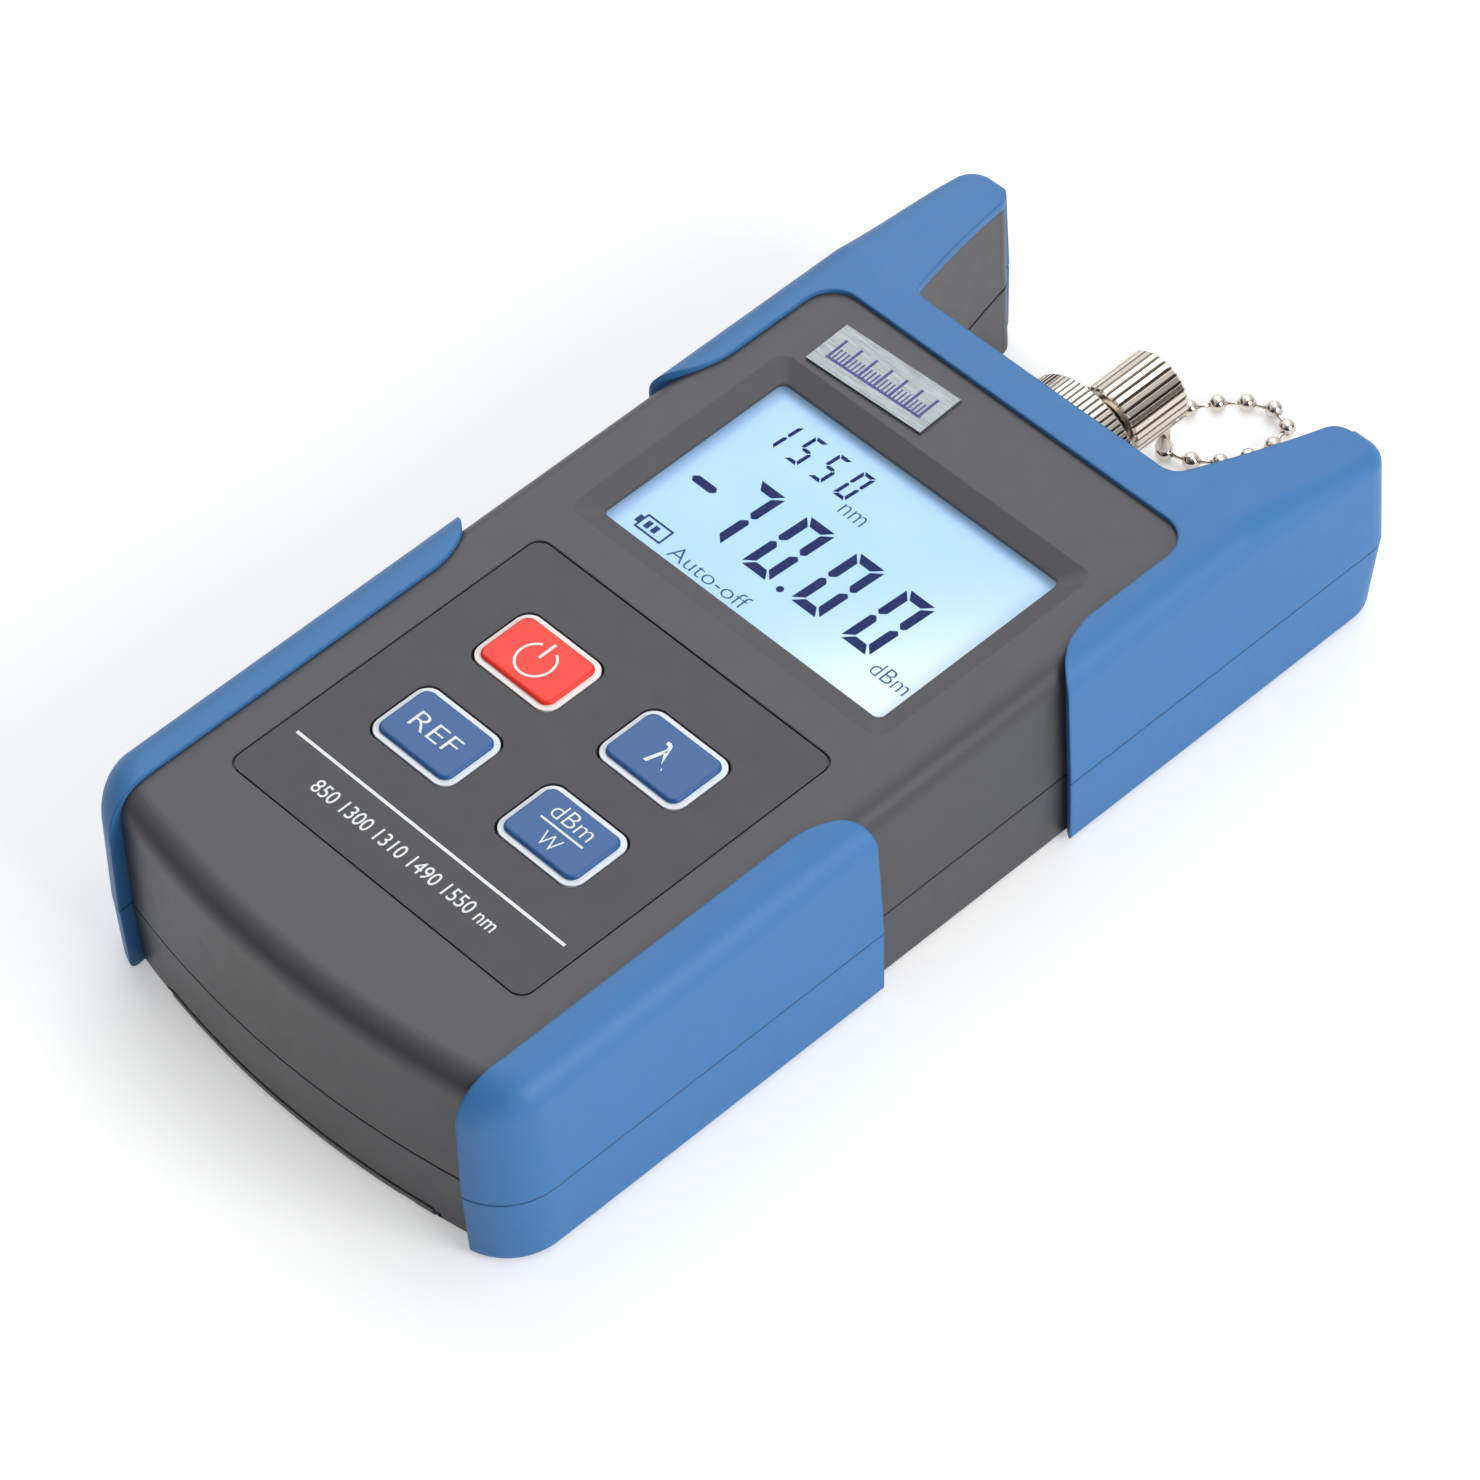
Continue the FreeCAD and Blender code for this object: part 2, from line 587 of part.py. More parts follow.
def lower_shell(skin):
    """Back moulding with its battery box, cover opening and screw bosses."""
    inset = -(SKIN_SUNK + WALL)
    hollow = lower_form(inset + SHELL_STEP, FLOOR, 0).cut(bay(WALL))
    shell = lower_form(0, 0, BASE_FILLET).cut(bay(0)).cut(hollow)
    half, span, top = battery_box_size()
    outer = box((-half - BOX_WALL, half + BOX_WALL), (span[0] - BOX_WALL, span[1] + BOX_WALL),
                (FLOOR / 2, top + BOX_WALL))
    cover = COVER_HALF + CLEAR
    ledge = cover + RAIL[0] + DECK
    deck = box((-ledge, ledge), (-FAR, COVER_END_Y + CLEAR + DECK), (FLOOR / 2, FLOOR + DECK))
    deck = deck.common(lower_form(-WALL / 2, 0, 0))
    shell = shell.fuse([outer, deck] + [post(x, y, FLOOR / 2, PARTING_Z, CASE_BOSS_RADIUS + 1)
                                        for x, y in CASE_SCREW_PLACES])
    rail_high = RAIL_Z + RAIL[1]
    cuts = [
        box((-half, half), span, (-1, top)),
        box((-cover, cover), (-FAR, COVER_END_Y + CLEAR), (-1, COVER_THICK + CLEAR)),
        box((-cover - RAIL[0], cover + RAIL[0]), (-FAR, COVER_END_Y + CLEAR),
            (RAIL_Z - CLEAR, rail_high + CLEAR)),
        port_hole(),
    ]
    seam = box((-FAR, FAR), (-FAR, FAR), (PARTING_Z - SEAM[0], PARTING_Z))
    cuts.append(seam.cut(lower_form(-SEAM[1], 0, 0).cut(bay(SEAM[1]))))
    for x, y in CASE_SCREW_PLACES:
        cuts.append(post(x, y, -1, CASE_BORE_DEPTH, CASE_BORE_RADIUS))
        cuts.append(post(x, y, -1, PARTING_Z + 1, CASE_HOLE_RADIUS))
    return shell.cut(cuts + skin)


def battery_cover():
    """Sliding cover with side tongues, thumb grooves and a lip over the end wall."""
    form = lower_form(COVER_PROUD, 0, BASE_FILLET)
    plate = form.common(box((-COVER_HALF, COVER_HALF), (-FAR, COVER_END_Y), (0, COVER_THICK)))
    half = COVER_HALF + RAIL[0]
    tongues = box((-half, half), (END_APEX_Y + 8, COVER_END_Y - 4), (RAIL_Z, RAIL_Z + RAIL[1]))
    cover = plate.fuse(tongues)
    grip = [box((-9, 9), (COVER_END_Y - 8 - 2.4 * i, COVER_END_Y - 6.8 - 2.4 * i), (-1, 0.5))
            for i in range(GROOVES)]
    return cover.cut(grip).removeSplitter()


# ---- display stack ----

def display_parts():
    """Window, liquid-crystal glass, light guide, frame and rubber contact strips."""
    window_low = WINDOW_TOP - WINDOW_THICK
    glass_top = window_low - STACK_PLAY
    glass_low = glass_top - GLASS_THICK
    glass_grow = WINDOW_LIP - FRAME_WALL - 0.2
    frame = display_slab(WINDOW_LIP, BOARD_TOP, window_low)
    frame = frame.cut(display_slab(WINDOW_LIP - FRAME_WALL, 0, HEIGHT))
    strips = []
    for end, inward in ((VIEW_Y[0] - glass_grow, 1), (VIEW_Y[1] + glass_grow, -1)):
        y = end + inward * STRIP_WIDTH * 0.6
        strips.append(box((-VIEW_HALF, VIEW_HALF), (y - STRIP_WIDTH / 2, y + STRIP_WIDTH / 2),
                          (BOARD_TOP, glass_low)))
    return {
        "display_window": display_slab(WINDOW_LIP, window_low, WINDOW_TOP),
        "display_glass": display_slab(glass_grow, glass_low, glass_top),
        "display_light": display_slab(-0.6, BOARD_TOP + STACK_PLAY, glass_low),
        "display_frame": frame,
        "contact_strips": Part.makeCompound(strips),
    }


# ---- keypad ----

def keypad_panel():
    """Thin front panel with a hole for each key."""
    low = HEIGHT - PANEL_SINK
    span = (PANEL_Y[0] + PANEL_PLAY, PANEL_Y[1] - PANEL_PLAY)
    panel = rounded_plate(PANEL_HALF - PANEL_PLAY, span, (low, low + PANEL_THICK), PANEL_CORNER)
    return panel.cut([key_block(spot, CLEAR, low - 1, HEIGHT + 1) for _, spot in key_places()])


def key(centre):
    """Key with a raised pad, a rim, a retaining flange and a stem down to its switch."""
    rim_z = HEIGHT - PANEL_SINK + PANEL_THICK
    flange_top = ROOF_UNDER - 0.3
    body = key_block(centre, 0, flange_top - KEY_FLANGE, rim_z)
    pad = key_block(centre, -KEY_BORDER, rim_z - 1, rim_z + KEY_RISE, KEY_CORNER - KEY_BORDER)
    crest = [e for e in pad.Edges if e.BoundBox.ZMin > rim_z + KEY_RISE - 0.01]
    pad = pad.makeFillet(KEY_RISE * 0.8, crest)
    flange = key_block(centre, KEY_FLANGE, flange_top - KEY_FLANGE, flange_top)
    stem_low = plunger_top() + KEY_TRAVEL + 0.05
    stem = post(centre[0], centre[1], stem_low, flange_top, STEM_RADIUS)
    return body.fuse([pad, flange, stem]).removeSplitter()


def plunger_top():
    """Height of the switches' plungers."""
    return SWITCH_TOP + 0.8


def key_switches():
    """Four tactile switches on the board."""
    half = SWITCH_SIZE / 2
    made = []
    for _, (x, y) in key_places():
        body = box((x - half, x + half), (y - half, y + half), (BOARD_TOP, SWITCH_TOP))
        made.append(body.fuse(post(x, y, SWITCH_TOP, plunger_top(), PLUNGER_RADIUS)))
    return Part.makeCompound(made)


def badge_plate():
    """Thin bare plate above the display, set on a little crookedly."""
    half_x, half_y = BADGE_SIZE[0] / 2, BADGE_SIZE[1] / 2
    plate = box((-half_x, half_x), (-half_y, half_y), (HEIGHT, HEIGHT + BADGE_THICK))
    plate.rotate(Vector(0, 0, 0), Z_AXIS, BADGE_TURN)
    plate.translate(Vector(BADGE_CENTRE[0], BADGE_CENTRE[1], 0))
    return plate


# ---- board and fasteners ----

def main_board():
    """Circuit board, cut away round the housing bosses."""
    low = BOARD_TOP - BOARD_THICK
    board = box((-BOARD_HALF, BOARD_HALF), BOARD_Y, (low, BOARD_TOP))
    cuts = [post(x, y, low - 1, BOARD_TOP + 1, CASE_BOSS_RADIUS + CLEAR) for x, y in CASE_SCREW_PLACES]
    cuts += [post(x, y, low - 1, BOARD_TOP + 1, PILOT_RADIUS + 0.2) for x, y in BOARD_SCREW_PLACES]
    return board.cut(cuts)


def board_chips():
    """Controller and amplifier on top of the board, supply parts under it."""
    low = BOARD_TOP - BOARD_THICK
    made = []
    for x, y, half_x, half_y, thick in CHIPS_ABOVE:
        made.append(box((x - half_x, x + half_x), (y - half_y, y + half_y), (BOARD_TOP, BOARD_TOP + thick)))
    for x, y, half_x, half_y, thick in CHIPS_BELOW:
        made.append(box((x - half_x, x + half_x), (y - half_y, y + half_y), (low - thick, low)))
    return Part.makeCompound(made)


def board_screws():
    """Four screws that hold the board to the roof's bosses."""
    low = BOARD_TOP - BOARD_THICK
    made = []
    for x, y in BOARD_SCREW_PLACES:
        head = post(x, y, low - SCREW_HEAD[1], low, SCREW_HEAD[0])
        made.append(head.fuse(post(x, y, low - 0.1, BOARD_TOP + SCREW_BITE, SCREW_RADIUS)))
    return Part.makeCompound(made)


def case_screws():
    """Four screws through the back into the upper shell."""
    made = []
    for x, y in CASE_SCREW_PLACES:
        head = post(x, y, CASE_BORE_DEPTH - CASE_HEAD[1], CASE_BORE_DEPTH, CASE_HEAD[0])
        shank = post(x, y, CASE_BORE_DEPTH - 0.1, CASE_BORE_DEPTH + CASE_SCREW_LENGTH, SCREW_RADIUS)
        slot = box((x - 0.4, x + 0.4), (y - 1.8, y + 1.8), (0, CASE_BORE_DEPTH - CASE_HEAD[1] + 0.8))
        cross = box((x - 1.8, x + 1.8), (y - 0.4, y + 0.4), (0, CASE_BORE_DEPTH - CASE_HEAD[1] + 0.8))
        made.append(head.fuse(shank).cut([slot, cross]))
    return Part.makeCompound(made)


# ---- batteries ----

def cells():
    """Cells side by side, the middle one the other way round."""
    _, span, _ = battery_box_size()
    made = []
    for i, x in enumerate(cell_places()):
        flip = i % 2
        start = span[0] + (CONTACT_THICK + SPRING_LENGTH if not flip else CONTACT_THICK + NIPPLE[1])
        can = Part.makeCylinder(CELL_RADIUS, CELL_LENGTH, Vector(x, start, cell_z()), Y_AXIS)
        rims = [e for e in can.Edges if e.BoundBox.YLength < 0.01]
        can = can.makeChamfer(CELL_EDGE, rims)
        tip = start - NIPPLE[1] if flip else start + CELL_LENGTH - 0.1
        nipple = Part.makeCylinder(NIPPLE[0], NIPPLE[1] + 0.1, Vector(x, tip, cell_z()), Y_AXIS)
        made.append(can.fuse(nipple))
    return Part.makeCompound(made)


def contact_plates():
    """Sprung steel plates at both ends of the battery box."""
    half, span, _ = battery_box_size()
    low, high = cell_z() - 5, cell_z() + 5
    plates = []
    for y in (span[0], span[1] - CONTACT_THICK):
        plates.append(box((-half + 1, half - 1), (y, y + CONTACT_THICK), (low, high)))
    return Part.makeCompound(plates)


def contact_springs():
    """Conical springs at the cells' flat ends, wound close."""
    _, span, _ = battery_box_size()
    made = []
    for i, x in enumerate(cell_places()):
        flip = i % 2
        base = span[1] - CONTACT_THICK if flip else span[0] + CONTACT_THICK
        way = -1 if flip else 1
        turns = 4
        step = SPRING_LENGTH / turns
        profile = [(0, 0)]
        for t in range(turns):
            radius = 4.6 - 0.8 * t
            profile += [(radius, t * step), (radius, (t + 0.6) * step), (radius - 0.7, (t + 0.8) * step)]
        profile += [(profile[-1][0], SPRING_LENGTH), (0, SPRING_LENGTH)]
        points = [Vector(x + r, base + way * y, cell_z()) for r, y in profile]
        face = Part.Face(Part.makePolygon(points + points[:1]))
        made.append(face.revolve(Vector(x, 0, cell_z()), Y_AXIS, 360))
    return Part.makeCompound(made)


# ---- fibre port ----

def ribbed(radius, depth, count, low, high):
    """Straight-knurled bar about the port's axis."""
    step = 2 * math.pi / count
    points = []
    for i in range(count):
        for share, r in ((0.0, radius - depth), (0.2, radius), (0.8, radius)):
            angle = (i + share) * step
            points.append(Vector(r * math.sin(angle), low, PORT_Z + r * math.cos(angle)))
    face = Part.Face(Part.makePolygon(points + points[:1]))
    return face.extrude(Vector(0, high - low, 0))


def port_body():
    """Turned adapter: flange behind the wall, neck, and threaded barrel with its sleeve."""
    back = BAY_Y - WALL - FLANGE[1]
    shoulder = RING_FRONT_Y - 0.6
    bore_end = BARREL_TIP_Y - FERRULE_DEPTH
    body = port_turning([
        (0, back), (FLANGE[0], back), (FLANGE[0], BAY_Y - WALL), (NECK_RADIUS, BAY_Y - WALL),
        (NECK_RADIUS, shoulder), (BARREL_RADIUS, shoulder), (BARREL_RADIUS, BARREL_TIP_Y - 0.4),
        (BARREL_RADIUS - 0.4, BARREL_TIP_Y), (0, BARREL_TIP_Y),
    ])
    inner = BARREL_RADIUS - BARREL_WALL
    well = port_turning([(SLEEVE_RADIUS, BARREL_TIP_Y - BARREL_WELL), (inner, BARREL_TIP_Y - BARREL_WELL),
                         (inner, FAR), (SLEEVE_RADIUS, FAR)])
    bore = Part.makeCylinder(FERRULE_RADIUS, FAR, Vector(0, bore_end, PORT_Z), Y_AXIS)
    sight = Part.makeCylinder(1.0, FAR, Vector(0, 0, PORT_Z), Y_AXIS)
    keyway = box((-KEYWAY[0] / 2, KEYWAY[0] / 2), (BARREL_TIP_Y - KEYWAY[1], FAR),
                 (PORT_Z + SLEEVE_RADIUS + 0.3, PORT_Z + BARREL_RADIUS + 1))
    return body.cut([well, bore, sight, keyway])


def port_ring():
    """Knurled ring that clamps the adapter to the bay wall."""
    low = BAY_Y + WASHER_THICK
    bar = ribbed(RING_RADIUS, RING_RIB_DEPTH, RING_RIBS, low, RING_FRONT_Y)
    fall, cone = RING_BEVEL
    bore = NECK_RADIUS + THREAD_PLAY
    trim = port_turning([
        (bore, low), (RING_RADIUS - RING_BACK_EDGE, low), (RING_RADIUS, low + RING_BACK_EDGE),
        (RING_RADIUS, RING_FRONT_Y - cone), (RING_RADIUS - fall, RING_FRONT_Y), (bore, RING_FRONT_Y),
    ])
    return bar.common(trim)


def detector():
    """Photodiode can behind the bore, with its legs bent up to the board."""
    back = BAY_Y - WALL - FLANGE[1]
    rim = DETECTOR_RIM[1]
    can = port_turning([(0, back - rim - DETECTOR_CAN[1]), (DETECTOR_CAN[0], back - rim - DETECTOR_CAN[1]),
                        (DETECTOR_CAN[0], back - rim), (DETECTOR_RIM[0], back - rim),
                        (DETECTOR_RIM[0], back), (0, back)])
    legs = []
    start = back - rim - DETECTOR_CAN[1]
    board_low = BOARD_TOP - BOARD_THICK
    for x in (-1.2, 0, 1.2):
        legs.append(box((x - 0.25, x + 0.25), (start - 2, start), (PORT_Z - 0.25, PORT_Z + 0.25)))
        legs.append(box((x - 0.25, x + 0.25), (start - 2, start - 1.5), (PORT_Z, board_low)))
    return can.fuse(legs)


# ---- dust cap and tether ----

def cap_back_y():
    """Open end of the dust cap."""
    return BARREL_TIP_Y - CAP_OVERLAP


def cap_end_y():
    """Outer face of the cap's closed end."""
    return BARREL_TIP_Y + CAP_PLAY + CAP_SEAL + CAP_END


def dust_cap():
    """Knurled screw cap with a riveted boss for its tether."""
    back, end = cap_back_y(), cap_end_y()
    bar = ribbed(CAP_RADIUS, CAP_RIB_DEPTH, CAP_RIBS, back, end)
    trim = port_turning([(0, back), (CAP_RADIUS - CAP_EDGES[0], back), (CAP_RADIUS, back + CAP_EDGES[0]),
                         (CAP_RADIUS, end - CAP_EDGES[1]), (CAP_RADIUS - CAP_EDGES[1], end), (0, end)])
    neck_end = end + BOSS_NECK[1]
    head_end = neck_end + BOSS_HEAD[1]
    boss = port_turning([(0, end - 0.5), (BOSS_NECK[0], end - 0.5), (BOSS_NECK[0], neck_end),
                         (BOSS_HEAD[0], neck_end), (BOSS_HEAD[0] - 0.4, head_end), (0, head_end)])
    bore = port_turning([(0, back - 1), (BARREL_RADIUS + CLEAR, back - 1),
                         (BARREL_RADIUS + CLEAR, end - CAP_END), (0, end - CAP_END)])
    return bar.common(trim).cut(bore).fuse(boss)


def cap_seal():
    """Rubber disc in the cap's closed end."""
    high = cap_end_y() - CAP_END
    return Part.makeCylinder(BARREL_RADIUS, CAP_SEAL, Vector(0, high - CAP_SEAL, PORT_Z), Y_AXIS)


def coupling(x, y):
    """Cup that hangs over the end ball of the tether."""
    low = 2 * BALL_RADIUS + 0.15
    return Part.makeCone(COUPLING[0] + 0.3, COUPLING[0] * 0.6, COUPLING[1], Vector(x, y, low), Z_AXIS)


def cap_lug():
    """Eyelet round the cap's boss, with a tongue hanging down to the tether."""
    start = cap_end_y() + (BOSS_NECK[1] - LUG_THICK) / 2
    eye = Part.makeCylinder(LUG_RADIUS, LUG_THICK, Vector(0, start, PORT_Z), Y_AXIS)
    low = 2 * BALL_RADIUS + COUPLING[1]
    tongue = box((-LUG_WIDTH / 2, LUG_WIDTH / 2), (start, start + LUG_THICK), (low, PORT_Z - LUG_TONGUE_DROP))
    hole = Part.makeCylinder(BOSS_NECK[0] + CLEAR, PUNCH[0], Vector(0, start - PUNCH[1], PORT_Z), Y_AXIS)
    cup = coupling(0, start + LUG_THICK / 2)
    return eye.fuse([tongue, cup]).cut(hole)


def tether_washer():
    """Washer clamped under the knurled ring, with a tongue down to the tether."""
    ring = Part.makeCylinder(WASHER_RADIUS, WASHER_THICK, Vector(0, BAY_Y, PORT_Z), Y_AXIS)
    low = 2 * BALL_RADIUS + COUPLING[1]
    half = LUG_WIDTH / 2
    tongue = box((ANCHOR_X - half, ANCHOR_X + half), (BAY_Y, BAY_Y + WASHER_THICK),
                 (low, PORT_Z - WASHER_TONGUE_DROP))
    hole = Part.makeCylinder(NECK_RADIUS + THREAD_PLAY, PUNCH[0], Vector(0, BAY_Y - PUNCH[1], PORT_Z), Y_AXIS)
    foot_y = BAY_Y + COUPLING[0] + COUPLING_PLAY
    foot = box((ANCHOR_X - half / 2, ANCHOR_X + half / 2), (BAY_Y, foot_y), (low, low + WASHER_THICK))
    return ring.fuse([tongue, foot, coupling(ANCHOR_X, foot_y)]).cut(hole)


def ball():
    """Chain ball about the origin, faceted all round."""
    rings = []
    for i in range(BALL_BANDS + 1):
        tilt = math.pi * (0.09 + 0.82 * i / BALL_BANDS)
        radius, height = BALL_RADIUS * math.sin(tilt), -BALL_RADIUS * math.cos(tilt)
        spots = [Vector(radius * math.cos(2 * math.pi * k / BALL_SIDES),
                        radius * math.sin(2 * math.pi * k / BALL_SIDES), height) for k in range(BALL_SIDES)]
        rings.append(Part.makePolygon(spots + spots[:1]))
    return Part.makeLoft(rings, True, True)


def tether():
    """Ball chain: equal balls on short wire links, lying on the table."""
    spline = Part.BSplineCurve()
    ends = [(0, cap_end_y() + BOSS_NECK[1] / 2)] + TETHER[1:-1] + [(ANCHOR_X, BAY_Y + COUPLING[0] + COUPLING_PLAY)]
    spline.interpolate([Vector(x, y, BALL_RADIUS + 0.05) for x, y in ends])
    length = spline.length()
    count = int(round(length / BALL_PITCH)) + 1
    spots = spline.toShape().discretize(Number=count)
    balls = []
    for spot in spots:
        balls.append(ball())
        balls[-1].translate(spot)
    links = []
    for a, b in zip(spots, spots[1:]):
        links.append(Part.makeCylinder(LINK_RADIUS, a.distanceToPoint(b), a, b.sub(a)))
    return balls[0].fuse(balls[1:] + links)


def build():
    """Make and write every sub-part."""
    skin = skins()
    upper = [s for n, s in skin.items() if "lower" not in n]
    lower = [s for n, s in skin.items() if "lower" in n]
    for name, shape in skin.items():
        save(name, shape)
    save("upper_shell", upper_shell(upper))
    save("lower_shell", lower_shell(lower))
    save("battery_cover", battery_cover())
    for name, shape in display_parts().items():
        save(name, shape)
    save("keypad_panel", keypad_panel())
    for name, spot in key_places():
        save("key_" + name, key(spot))
    save("key_switches", key_switches())
    save("badge_plate", badge_plate())
    save("main_board", main_board())
    save("board_chips", board_chips())
    save("board_screws", board_screws())
    save("case_screws", case_screws())
    save("battery_cells", cells())
    save("contact_plates", contact_plates())
    save("contact_springs", contact_springs())
    save("port_body", port_body())
    save("port_ring", port_ring())
    save("detector", detector())
    save("dust_cap", dust_cap())
    save("cap_seal", cap_seal())
    save("cap_lug", cap_lug())
    save("tether_washer", tether_washer())
    save("ball_chain", tether())


build()
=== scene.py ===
"""Dresses the handheld optical power meter: finishes, display picture, legends, ball chain and studio.

Everything is in metres in the meter's own frame: +Z up out of the keypad face and +Y towards
the fibre port, with the origin in the middle of the flat back.
"""

import logging
import math
from dataclasses import dataclass, field
from enum import Enum
from typing import Iterable, Mapping, Sequence

import bpy
import numpy as np
from mathutils import Matrix, Vector


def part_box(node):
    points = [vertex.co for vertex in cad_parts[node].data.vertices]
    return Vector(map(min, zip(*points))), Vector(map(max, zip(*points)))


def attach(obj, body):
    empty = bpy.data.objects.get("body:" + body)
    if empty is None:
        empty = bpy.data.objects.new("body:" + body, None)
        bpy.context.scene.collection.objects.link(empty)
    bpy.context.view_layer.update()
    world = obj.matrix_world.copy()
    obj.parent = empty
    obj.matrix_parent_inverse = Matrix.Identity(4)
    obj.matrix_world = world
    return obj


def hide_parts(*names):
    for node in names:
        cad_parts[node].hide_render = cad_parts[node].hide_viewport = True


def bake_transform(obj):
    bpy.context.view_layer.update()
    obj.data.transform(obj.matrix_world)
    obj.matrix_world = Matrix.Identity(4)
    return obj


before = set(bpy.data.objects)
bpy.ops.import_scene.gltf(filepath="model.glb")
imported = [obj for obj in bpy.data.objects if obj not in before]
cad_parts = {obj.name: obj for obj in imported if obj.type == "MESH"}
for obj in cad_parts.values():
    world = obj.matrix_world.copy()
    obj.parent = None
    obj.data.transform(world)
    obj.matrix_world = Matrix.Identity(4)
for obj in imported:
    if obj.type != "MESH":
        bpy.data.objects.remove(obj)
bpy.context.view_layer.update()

log = logging.getLogger("power_meter")
MM = 0.001
Point = tuple[float, float, float]
Colour = tuple[float, float, float]


# ---- mesh tools ----

def put_mesh(name: str, points: np.ndarray, faces: Iterable[Sequence[int]],
             material: bpy.types.Material, smooth: bool = False) -> bpy.types.Object:
    """Makes an object at the origin from a table of points and a list of faces.

    Args:
        name: name of the piece.
        points: n x 3 array of places in metres.
        faces: corner numbers of each face, anticlockwise seen from outside.
        material: finish of the whole piece.
        smooth: True for a rounded look across the faces.

    Returns:
        The new object.
    """
    mesh = bpy.data.meshes.new(name)
    mesh.from_pydata(points.reshape(-1, 3).tolist(), [], [list(f) for f in faces])
    mesh.polygons.foreach_set("use_smooth", np.full(len(mesh.polygons), smooth))
    mesh.materials.append(material)
    mesh.update()
    made = bpy.data.objects.new(name, mesh)
    bpy.context.scene.collection.objects.link(made)
    return made


def grid_faces(rows: int, columns: int, first: int = 0) -> np.ndarray:
    """Quads of a grid whose columns close on themselves: corner (i, j) is number i * columns + j.

    Args:
        rows: number of rings of points.
        columns: points in a ring; the last joins the first.
        first: number of the grid's first point.

    Returns:
        An array of four corner numbers for each quad.
    """
    i, j = np.meshgrid(np.arange(rows - 1), np.arange(columns), indexing="ij")
    k = (j + 1) % columns
    quads = np.stack([i * columns + j, i * columns + k, (i + 1) * columns + k, (i + 1) * columns + j], -1)
    return quads.reshape(-1, 4) + first


@dataclass
class Shapes:
    """Several surfaces gathered into one piece."""

    points: list[np.ndarray] = field(default_factory=list)
    faces: list[Sequence[int]] = field(default_factory=list)
    count: int = 0

    def add(self, points: np.ndarray, faces: Iterable[Sequence[int]]) -> None:
        """Adds a surface whose faces number its own points from nought."""
        self.points.append(points.reshape(-1, 3))
        self.faces += [[int(c) + self.count for c in f] for f in faces]
        self.count += len(self.points[-1])

    def outline(self, corners: np.ndarray, height: float) -> None:
        """Adds one flat face with the given plan corners at a height."""
        flat = np.column_stack([corners, np.full(len(corners), height)])
        self.add(flat, [range(len(corners))])

    def turned(self, profile: np.ndarray, start: Point, along: Sequence[float], steps: int) -> None:
        """Adds a surface of revolution, closed at both ends.

        A point is start + a * along + r * (cos t * side + sin t * other), where (a, r) runs over
        the profile, t runs once round, and side and other stand square to the axis.

        Args:
            profile: n x 2 array of distance along the axis and radius.
            start: where the axis begins.
            along: direction of the axis.
            steps: points in each ring.
        """
        axis = np.array(along, float) / np.linalg.norm(along)
        helper = np.array((0.0, 0.0, 1.0)) if abs(axis[2]) < 0.9 else np.array((1.0, 0.0, 0.0))
        side = np.cross(helper, axis)
        side /= np.linalg.norm(side)
        other = np.cross(axis, side)
        turn = np.linspace(0, 2 * math.pi, steps, endpoint=False)
        ring = np.cos(turn)[:, None] * side + np.sin(turn)[:, None] * other
        points = np.array(start) + profile[:, 0, None, None] * axis + profile[:, 1, None, None] * ring
        faces = [*grid_faces(len(profile), steps)[:, ::-1].tolist()]
        faces.append(list(range(steps)))
        faces.append(list(range(len(profile) * steps - 1, (len(profile) - 1) * steps - 1, -1)))
        self.add(points, [f[::-1] for f in faces])

    def piece(self, name: str, material: bpy.types.Material, smooth: bool = False) -> bpy.types.Object:
        """Makes the gathered surfaces into one object."""
        return put_mesh(name, np.concatenate(self.points), self.faces, material, smooth)


def lettering(name: str, words: str, box: tuple[float, float, float, float], height: float,
              material: bpy.types.Material, weight: float = 0.0) -> bpy.types.Object:
    """Flat letters stretched to fill a rectangle.

    Args:
        name: name of the piece.
        words: the characters.
        box: lowest and highest x, then lowest and highest y, in metres.
        height: z of the letters.
        material: ink.
        weight: how much the strokes are thickened, as a share of the letter size.

    Returns:
        The letters as a mesh in place.
    """
    curve = bpy.data.curves.new(name, "FONT")
    curve.body = words
    curve.size = 1.0
    curve.offset = weight
    curve.resolution_u = 6
    holder = bpy.data.objects.new(name, curve)
    bpy.context.scene.collection.objects.link(holder)
    mesh = bpy.data.meshes.new_from_object(holder.evaluated_get(bpy.context.evaluated_depsgraph_get()))
    bpy.data.objects.remove(holder)
    flat = np.zeros(len(mesh.vertices) * 3)
    mesh.vertices.foreach_get("co", flat)
    flat = flat.reshape(-1, 3)
    low, high = flat.min(0), flat.max(0)
    place = np.empty_like(flat)
    place[:, 0] = box[0] + (flat[:, 0] - low[0]) / (high[0] - low[0]) * (box[1] - box[0])
    place[:, 1] = box[2] + (flat[:, 1] - low[1]) / (high[1] - low[1]) * (box[3] - box[2])
    place[:, 2] = height
    mesh.vertices.foreach_set("co", place.ravel())
    mesh.materials.clear()
    mesh.materials.append(material)
    mesh.update()
    made = bpy.data.objects.new(name, mesh)
    bpy.context.scene.collection.objects.link(made)
    return made


def bar(left: float, right: float, low: float, high: float, lean: float = 0.0) -> np.ndarray:
    """Four plan corners of a bar; lean shifts the upper corners along x."""
    return np.array([(left, low), (right, low), (right + lean, high), (left + lean, high)])


